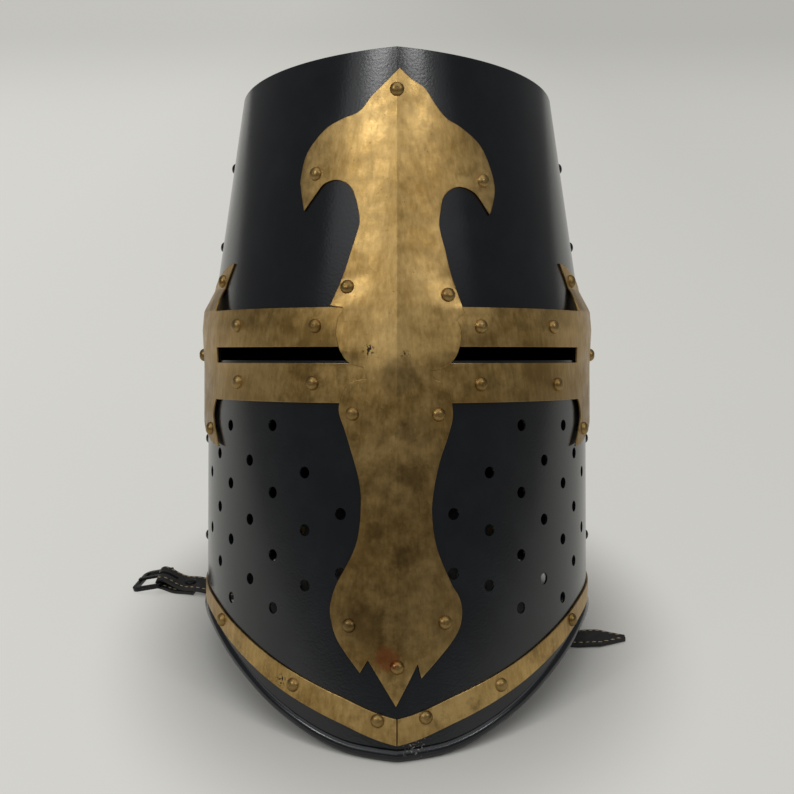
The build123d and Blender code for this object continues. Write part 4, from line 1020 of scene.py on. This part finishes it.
class HELM_OT_eye_bars(bpy.types.Operator):
    """Cuts the two brass eye bars with their hooked ends and bends them round the sides"""
    bl_idname = "helm.eye_bars"
    bl_label = "Eye bars"

    def execute(self, context):
        sizes = context.scene.helm_sizes
        brass = aged_brass(context.scene.helm_colours)

        def across_front(x):
            return along_wall(bearing_at_x(BAR_SKIN, BAR_INNER, x, SLIT_MIDDLE), SLIT_MIDDLE)

        inner, near, far = across_front(BAR_END), across_front(BAR_SLIT_NEAR), across_front(BAR_SLIT_FAR)
        outline = [(inner, BAR_TOP)]
        outline += [(along_wall(bearing_at_y(BAR_SKIN, BAR_INNER, y, z), z), z) for y, z in arm_shape()]
        outline += [(inner, BAR_BOTTOM)]
        window = [(near, BAR_SLIT_LOW), (far, BAR_SLIT_LOW), (far, BAR_SLIT_HIGH), (near, BAR_SLIT_HIGH)]
        for side, word in ((-1, "left"), (1, "right")):
            def wrap(s, z, t):
                level = level_at(BAR_SKIN, z)
                bearing = ridge_bearing(level, BAR_INNER) + s / ARC_MM
                uneven = 0.5 * sizes.beating / MM * beaten(s * side, z, 7.0)
                x, y = wall_point(level, BAR_INNER + t + uneven, bearing)
                if y < 0:
                    close = wall_point(level_at(BAR_HUG, z), BAR_INNER + t + uneven, bearing)
                    share = hugging(x)
                    x, y = x + (close[0] - x) * share, y + (close[1] - y) * share
                return row(side * x, y, z)
            obj = cut_sheet("eye_bar_" + word + "_sheet", outline, sizes.brass_gauge, BAR_CELL, wrap,
                            [window], sizes.edge_round)
            settle(obj, brass, "helm", ["eye_bar_" + word])
        return {"FINISHED"}


class HELM_OT_rim_bands(bpy.types.Operator):
    """Bends the two brass strips round the lower edge; they meet at the ridge and at the back"""
    bl_idname = "helm.rim_bands"
    bl_label = "Rim bands"

    def execute(self, context):
        sizes = context.scene.helm_sizes
        brass = aged_brass(context.scene.helm_colours)
        for side, word in ((-1, "left"), (1, "right")):
            def lay(x, y):
                z = BAND_START
                share = (x + 1) / 2
                for turn in range(4):
                    level = level_at(SHELL, z)
                    ridge = ridge_bearing(level, BRASS + SEAT) + BAND_FRONT_GAP
                    bearing = ridge + (BAND_BACK_BEARING - ridge) * share
                    uneven = 0.4 * sizes.beating / MM * beaten(bearing * BAND_ARC_MM * side, z, 11.0)
                    px, py = wall_point(level, BRASS + SEAT + uneven, bearing)
                    low, high = curve_at(BAND_LOWS, py), curve_at(BAND_TOPS, py)
                    z = low + (high - low) * (y + 1) / 2
                return row(side * px, py, z)
            obj = grid("rim_band_" + word + "_sheet", 190, 8, lay)
            modify(obj, "SOLIDIFY", thickness=sizes.brass_gauge, offset=-1 if side > 0 else 1)
            ease_edges(obj, sizes.edge_round)
            weld(obj)
            settle(obj, brass, "helm", ["rim_band_" + word])
        return {"FINISHED"}


class HELM_OT_rivets(bpy.types.Operator):
    """Sets the brass and black rivets"""
    bl_idname = "helm.rivets"
    bl_label = "Rivets"

    def execute(self, context):
        colours = context.scene.helm_colours
        brass = aged_brass(colours, "brass rivet heads", film=0.45)
        coat = black_powder_coat(colours)
        for node in ("cross_rivets", "eye_bar_rivets", "flare_rivets", "rim_band_rivets"):
            refined(node, node + "_set", brass, "helm")
        for node in ("upper_seam_rivets", "lower_seam_rivets", "back_lap_rivets", "head_band_rivets",
                     "chin_strap_rivets"):
            refined(node, node + "_set", coat, "helm")
        return {"FINISHED"}


# Points round a strap's section; a stitch's half length as a share of the pitch, half width and half height
PROFILE_POINTS = 22
STITCH_SHARE = 0.36
STITCH_HALF_WIDTH = 0.34
STITCH_HALF_HEIGHT = 0.3


def strip_profile(width, gauge, x):
    # rounded section of a leather strap; x runs once round it from -1 to 1
    outline = []
    corner = min(0.42 * gauge, 0.9)
    for cx, cy, begin in ((1, 1, 0), (-1, 1, 90), (-1, -1, 180), (1, -1, 270)):
        for step in (0, 45, 90):
            turn = math.radians(begin + step)
            outline.append((cx * (width / 2 - corner) + corner * math.cos(turn),
                            cy * (gauge / 2 - corner) + corner * math.sin(turn)))
        if begin in (0, 180):
            for share in (0.66, 0.33, 0.0, -0.33, -0.66):
                outline.append((cx * share * (width / 2 - corner), cy * gauge / 2))
    i = round((x + 1) / 2 * len(outline)) % len(outline)
    return outline[i]


def ribbon(name, places, hint, width_at, gauge):
    # leather strip along a path in row millimetres, its ends closed
    steps = len(places) - 1

    def lay(x, y):
        i = round((y + 1) / 2 * (steps + 4)) - 2
        shrink = 0 if i in (-2, steps + 2) else 0.8 if i in (-1, steps + 1) else 1
        i = min(max(i, 0), steps)
        place, heading = places[i]
        across = (hint - heading * heading.dot(hint)).normalized()
        upward = heading.cross(across)
        u, v = strip_profile(width_at(i / steps), gauge, x)
        return (place + across * u * shrink + upward * v * shrink) * MM

    obj = grid(name, PROFILE_POINTS, steps + 4, lay)
    weld(obj)
    return obj


def stitched(name, places, hint, width_at, gauge, inset, pitch, faces=(1, -1), skip=0.02):
    # saddle stitches along both edges of a strip
    bpy.ops.object.select_all(action="DESELECT")
    bpy.ops.mesh.primitive_uv_sphere_add(segments=8, ring_count=6, radius=1)
    model = bpy.context.object
    length = sum((b[0] - a[0]).length for a, b in zip(places, places[1:]))
    count = int(length * (1 - 2 * skip) / pitch)
    made = []
    for face in faces:
        for edge in (-1, 1):
            for k in range(count):
                share = skip + (1 - 2 * skip) * (k + 0.5) / count
                i = min(int(share * (len(places) - 1)), len(places) - 2)
                rest = share * (len(places) - 1) - i
                place = places[i][0].lerp(places[i + 1][0], rest)
                heading = places[i][1]
                across = (hint - heading * heading.dot(hint)).normalized()
                upward = heading.cross(across)
                middle = place + across * edge * (width_at(share) / 2 - inset) + upward * face * gauge / 2
                copy = model.copy()
                copy.data = model.data.copy()
                bpy.context.scene.collection.objects.link(copy)
                for vertex in copy.data.vertices:
                    a, b, c = vertex.co
                    spot = middle + heading * a * pitch * STITCH_SHARE + across * b * STITCH_HALF_WIDTH
                    vertex.co = (spot + upward * c * STITCH_HALF_HEIGHT) * MM
                made.append(copy)
    bpy.data.objects.remove(model, do_unlink=True)
    return join(made, name)


# Lining, in the helm's frame and in millimetres; the straps' arches as shares of their reach and rise
HEAD_BAND_LOW, HEAD_BAND_TOP = 226.0, 250.0
HEAD_BAND_GAUGE = 2.4
HEAD_STRAP_LAP = 17.0
HEAD_STRAP_WIDTH = 26.0
HEAD_STRAP_GAUGE = 2.0
HEAD_STRAP_STAND_OFF = 1.0
HEAD_STITCH_INSET, HEAD_STITCH_PITCH = 2.6, 4.4
LONG_APEX = 322.0
CROSS_APEX = 319.65
BROW_EASE, NAPE_EASE, SIDE_EASE = 3.9, 1.7, 0.9
ARCH_SHARES = ((0.97, 0.35), (0.82, 0.67), (0.55, 0.89), (0.27, 0.985))


class HELM_OT_lining(bpy.types.Operator):
    """Fits the leather head band and the two straps that carry it"""
    bl_idname = "helm.lining"
    bl_label = "Lining"

    def execute(self, context):
        colours = context.scene.helm_colours
        hide = dyed_leather("plain tanned lining leather", colours.lining_tan, colours.lining_worn, 1.1, 0.58)
        thread = waxed_thread(colours)
        low, high, outer, gauge = HEAD_BAND_LOW, HEAD_BAND_TOP, -STEEL - SEAT, HEAD_BAND_GAUGE

        def lay(x, y):
            z = low + (high - low) * (y + 1) / 2
            level = level_at(SHELL, z)
            ridge = ridge_bearing(level, outer)
            px, py = wall_point(level, outer, ridge + (90 - ridge) * abs(x))
            if abs(x) < 1e-6 or abs(x) > 1 - 1e-6:
                px = 0
            return row((1 if x > 0 else -1) * px, py, z)

        band = grid("head_band", 160, 8, lay)
        weld(band)
        modify(band, "SOLIDIFY", thickness=gauge * MM, offset=-1)
        ease_edges(band, 0.7 * MM)
        settle(band, hide, "helm", ["head_band"], 40)

        seat_grow = outer - gauge - SEAT - HEAD_STRAP_STAND_OFF
        lap = high - HEAD_STRAP_LAP

        def reach(z, bearing):
            level = level_at(SHELL, z)
            if bearing is None:
                return wall_point(level, seat_grow, ridge_bearing(level, seat_grow))[1]
            return wall_point(level, seat_grow, bearing)[0 if bearing == 0 else 1]

        brow = (reach(lap, None) + BROW_EASE, reach(high, None) + BROW_EASE)
        nape = (reach(lap, 90) - NAPE_EASE, reach(high, 90) - NAPE_EASE)
        cheek = (reach(lap, 0) - SIDE_EASE, reach(high, 0) - SIDE_EASE)
        straps = (
            ("head_strap_long", LONG_APEX, Vector((1, 0, 0)), (brow, nape)),
            ("head_strap_cross", CROSS_APEX, AFT, (cheek, (-cheek[0], -cheek[1]))),
        )
        for name, apex, hint, ends in straps:
            halves = []
            for foot, top in ends:
                arch = [(top * a, high + (apex - high) * b) for a, b in ARCH_SHARES]
                halves.append([(foot, lap), (top, high)] + arch)
            whole = halves[0] + [(0, apex)] + halves[1][::-1]
            points = [(row(0, u, z) if name.endswith("long") else row(u, 0, z)) / MM for u, z in whole]
            places = path_through(points, 110)[0]
            strap = ribbon(name, places, hint, lambda share: HEAD_STRAP_WIDTH, HEAD_STRAP_GAUGE)
            seams = stitched(name + "_stitches", places, hint, lambda share: HEAD_STRAP_WIDTH,
                             HEAD_STRAP_GAUGE, HEAD_STITCH_INSET, HEAD_STITCH_PITCH)
            settle(strap, hide, "helm", [name], 40)
            settle(seams, thread, "helm", [], 60)
        return {"FINISHED"}


# Chin straps: shares inward, along and down that their fall and their turn on to the table pass through
FALL = ((0.0, 0.0, 1.0), (0.04, 0.06, 0.84), (0.36, 0.28, 0.6), (0.8, 0.55, 0.37), (1.0, 0.76, 0.18))
TURN = ((0.78, 0.93, 0.35), (0.3, 1.0, 0.0))
STRAP_REST = 1.6
STRAP_TUCK = 15.0
STRAP_WIDTH = 18.0
BAR_HEIGHT = 6.0
FOLD_MIDDLE = 2.6
FOLD_LENGTH = 22.0
STUD_BACK = 17.5
STUD_RADIUS = 3.6
SKEW = math.radians(12.0)
STRAP_RIVET_HEIGHT = 96.0
STRAP_TAIL = 9.0
STRAP_CLEAR = 0.5
STRAP_HALF_GAUGE = 1.2
STITCH_INSET = 2.0
RIGHT_BACK, RIGHT_OUT = 125.0, 131.0
LEFT_BACK, LEFT_RUN = 186.0, 46.0
POINT_WIDTH, POINT_LENGTH = 5.0, 15.0
SLOT_OUT, SLOT_BACK, SLOT_HALF = 3.9, 9.5, 1.55
SLOT_CUT_HEIGHT = 12.0


def strap_fall(side, back):
    grow = -2 * STEEL - STRAP_CLEAR - STRAP_HALF_GAUGE
    x, y = wall_point(level_at(SHELL, STRAP_RIVET_HEIGHT), grow, 0.0)
    spot = row(side * x, y, STRAP_RIVET_HEIGHT) / MM
    points = [spot + UP * STRAP_TAIL]
    falls = [(inward, travel, (spot.z - STRAP_REST) * height) for inward, travel, height in FALL]
    turns = [(inward, travel, STRAP_TUCK / 2 * height) for inward, travel, height in TURN]
    for inward, travel, lift in falls + turns:
        points.append(Vector((
            side * (x - STRAP_TUCK * inward),
            spot.y + (back - REST_LENGTH / 2 - spot.y) * travel,
            STRAP_REST + lift,
        )))
    return points


class HELM_OT_chin_straps(bpy.types.Operator):
    """Hangs the stitched leather chin straps and lays them on the table"""
    bl_idname = "helm.chin_straps"
    bl_label = "Chin straps"

    def execute(self, context):
        sizes, colours = context.scene.helm_sizes, context.scene.helm_colours
        hide = dyed_leather("black dyed strap leather", colours.strap_black, colours.strap_worn, 0.9, 0.42)
        thread = waxed_thread(colours)
        gauge, pitch = sizes.strap_gauge / MM, sizes.stitch_pitch / MM
        hint = Vector((0, 1, 0))
        right = strap_fall(1, RIGHT_BACK)
        turn = right[-1].x
        for share in (0.34, 0.67, 1.0):
            aside = turn + (RIGHT_OUT - turn) * share
            right.append(Vector((aside, RIGHT_BACK - REST_LENGTH / 2, STRAP_REST)))
        places, length = path_through(right, 150)

        def pointed(share):
            left_over = (1 - share) * length / POINT_LENGTH
            return min(STRAP_WIDTH, POINT_WIDTH + (STRAP_WIDTH - POINT_WIDTH) * left_over)

        strap = ribbon("chin_strap_right", places, hint, pointed, gauge)
        seams = stitched("chin_strap_right_stitches", places, hint, pointed, gauge, STITCH_INSET, pitch)
        settle(strap, hide, "helm", ["chin_strap_right"], 40)
        settle(seams, thread, "helm", [], 60)

        left = strap_fall(-1, LEFT_BACK)
        out = Vector((-math.cos(SKEW), math.sin(SKEW), 0))
        across = Vector((math.sin(SKEW), math.cos(SKEW), 0))
        foot = left[-1] + out * LEFT_RUN
        stack = STRAP_REST + gauge + SEAT

        def beside(back, height):
            return Vector((foot.x, foot.y, height)) - out * back

        left += [
            beside(LEFT_RUN - FOLD_LENGTH / 3, STRAP_REST),
            beside((LEFT_RUN + FOLD_LENGTH) / 2, STRAP_REST + 0.8),
            beside(STUD_BACK + STUD_RADIUS, stack),
            beside(STUD_BACK - STUD_RADIUS, stack),
            beside(FOLD_LENGTH / 3, (BAR_HEIGHT + FOLD_MIDDLE + stack) / 2),
        ]
        for turn in (90, 60, 30, 0, -30, -60, -90):
            angle = math.radians(turn)
            left.append(beside(-FOLD_MIDDLE * math.cos(angle), BAR_HEIGHT + FOLD_MIDDLE * math.sin(angle)))
        left += [
            beside(FOLD_LENGTH / 3, STRAP_REST + SEAT),
            beside(FOLD_LENGTH * 2 / 3, STRAP_REST),
            beside(FOLD_LENGTH, STRAP_REST),
        ]
        places = path_through(left, 220)[0]
        strap = ribbon("chin_strap_left", places, hint, lambda share: STRAP_WIDTH, gauge)
        corners = (
            (SLOT_OUT, SLOT_HALF), (-SLOT_BACK, SLOT_HALF), (-SLOT_BACK, -SLOT_HALF), (SLOT_OUT, -SLOT_HALF)
        )
        slot = [foot + out * u + across * w for u, w in corners]
        cut(strap, prism("slot", [(p.x * MM, p.y * MM) for p in slot], 0.0, SLOT_CUT_HEIGHT * MM))
        seams = stitched("chin_strap_left_stitches", places, hint, lambda share: STRAP_WIDTH, gauge,
                         STITCH_INSET, pitch, faces=(-1, 1))
        settle(strap, hide, "helm", ["chin_strap_left"], 40)
        settle(seams, thread, "helm", [], 60)
        return {"FINISHED"}


class HELM_OT_buckle(bpy.types.Operator):
    """Finishes the buckle's frame and prong and the strap's stud"""
    bl_idname = "helm.buckle"
    bl_label = "Buckle"

    def execute(self, context):
        metal = blackened_metal(context.scene.helm_colours)
        refined("buckle_frame", "buckle_frame", metal, "buckle_frame", 0.45 * MM, 40)
        refined("buckle_prong", "buckle_prong", metal, "buckle_prong", 0.3 * MM, 40)
        refined("strap_stud", "strap_stud", metal, "helm", 0.0, 40)
        return {"FINISHED"}


# Area lamps: degrees from the front and up, metres from the helm's middle, width and height, watts
LAMPS = (
    ("lamp_left", -42, 34, 1.9, 1.6, 0.8, 3.4),
    ("lamp_right", 42, 34, 1.9, 1.6, 0.8, 1.5),
    ("spot_left", -52, 38, 1.9, 0.3, 0.25, 3.3),
    ("spot_right", 52, 38, 1.9, 0.3, 0.25, 2.5),
    ("lamp_above", 0, 80, 2.0, 2.6, 2.6, 17.0),
)
ROOM_COLOUR = (1, 1, 0.99, 1)
ROOM_STRENGTH = 0.17


class HELM_OT_stage(bpy.types.Operator):
    """Sets the table, the soft lamps and the camera"""
    bl_idname = "helm.stage"
    bl_label = "Stage"

    def execute(self, context):
        colours, scene = context.scene.helm_colours, context.scene
        bpy.ops.object.select_all(action="DESELECT")
        bpy.ops.mesh.primitive_plane_add(size=30, location=(0, 8, 0))
        table = context.object
        bpy.ops.object.transform_apply(location=True)
        table.name = "table"
        table.data.materials.append(pale_paper(colours))

        world = bpy.data.worlds.new("room")
        scene.world = world
        world.use_nodes = True
        background = world.node_tree.nodes["Background"]
        background.inputs["Color"].default_value = ROOM_COLOUR
        background.inputs["Strength"].default_value = ROOM_STRENGTH

        target = Vector((0, 0.02, 0.17))
        for name, azimuth, elevation, distance, width, height, power in LAMPS:
            a, e = math.radians(azimuth), math.radians(elevation)
            away = Vector((math.sin(a) * math.cos(e), -math.cos(a) * math.cos(e), math.sin(e)))
            bpy.ops.object.light_add(type="AREA", location=target + away * distance)
            lamp = context.object
            lamp.name = name
            lamp.rotation_euler = away.to_track_quat("Z", "Y").to_euler()
            lamp.data.shape = "RECTANGLE"
            lamp.data.size = width
            lamp.data.size_y = height
            lamp.data.energy = power

        eye = row(0, -FOOT[2] - VIEW_DISTANCE, SLIT_MIDDLE)
        tilt = LEAN + math.atan((PHOTO_PIXELS / 2 - LEVEL_PX) / VIEW_PIXELS)
        bpy.ops.object.camera_add(location=eye, rotation=(math.pi / 2 - tilt, 0, 0))
        camera = context.object
        camera.data.sensor_width = SENSOR_WIDTH
        camera.data.lens = SENSOR_WIDTH * VIEW_PIXELS / PHOTO_PIXELS
        camera.data.clip_start = 0.05
        scene.camera = camera
        scene.view_settings.view_transform = "Standard"
        return {"FINISHED"}


STEPS = (
    HELM_OT_skull_plates,
    HELM_OT_face_plates,
    HELM_OT_rim,
    HELM_OT_cross,
    HELM_OT_eye_bars,
    HELM_OT_rim_bands,
    HELM_OT_rivets,
    HELM_OT_lining,
    HELM_OT_chin_straps,
    HELM_OT_buckle,
    HELM_OT_stage,
)


class HELM_PT_panel(bpy.types.Panel):
    bl_idname = "HELM_PT_panel"
    bl_label = "Great helm"
    bl_space_type = "VIEW_3D"
    bl_region_type = "UI"
    bl_category = "Helm"

    def draw(self, context):
        for name in HelmSizes.__annotations__:
            self.layout.prop(context.scene.helm_sizes, name)
        for name in HelmColours.__annotations__:
            self.layout.prop(context.scene.helm_colours, name)
        for step in STEPS:
            self.layout.operator(step.bl_idname)


CLASSES = (HelmSizes, HelmColours) + STEPS + (HELM_PT_panel,)


def register():
    for item in CLASSES:
        bpy.utils.register_class(item)
    bpy.types.Scene.helm_sizes = PointerProperty(type=HelmSizes)
    bpy.types.Scene.helm_colours = PointerProperty(type=HelmColours)


def unregister():
    del bpy.types.Scene.helm_sizes
    del bpy.types.Scene.helm_colours
    for item in reversed(CLASSES):
        bpy.utils.unregister_class(item)


def main():
    register()
    bpy.ops.helm.skull_plates()
    bpy.ops.helm.face_plates()
    bpy.ops.helm.rim()
    bpy.ops.helm.cross()
    bpy.ops.helm.eye_bars()
    bpy.ops.helm.rim_bands()
    bpy.ops.helm.rivets()
    bpy.ops.helm.lining()
    bpy.ops.helm.chin_straps()
    bpy.ops.helm.buckle()
    bpy.ops.helm.stage()


if __name__ == "__main__":
    main()
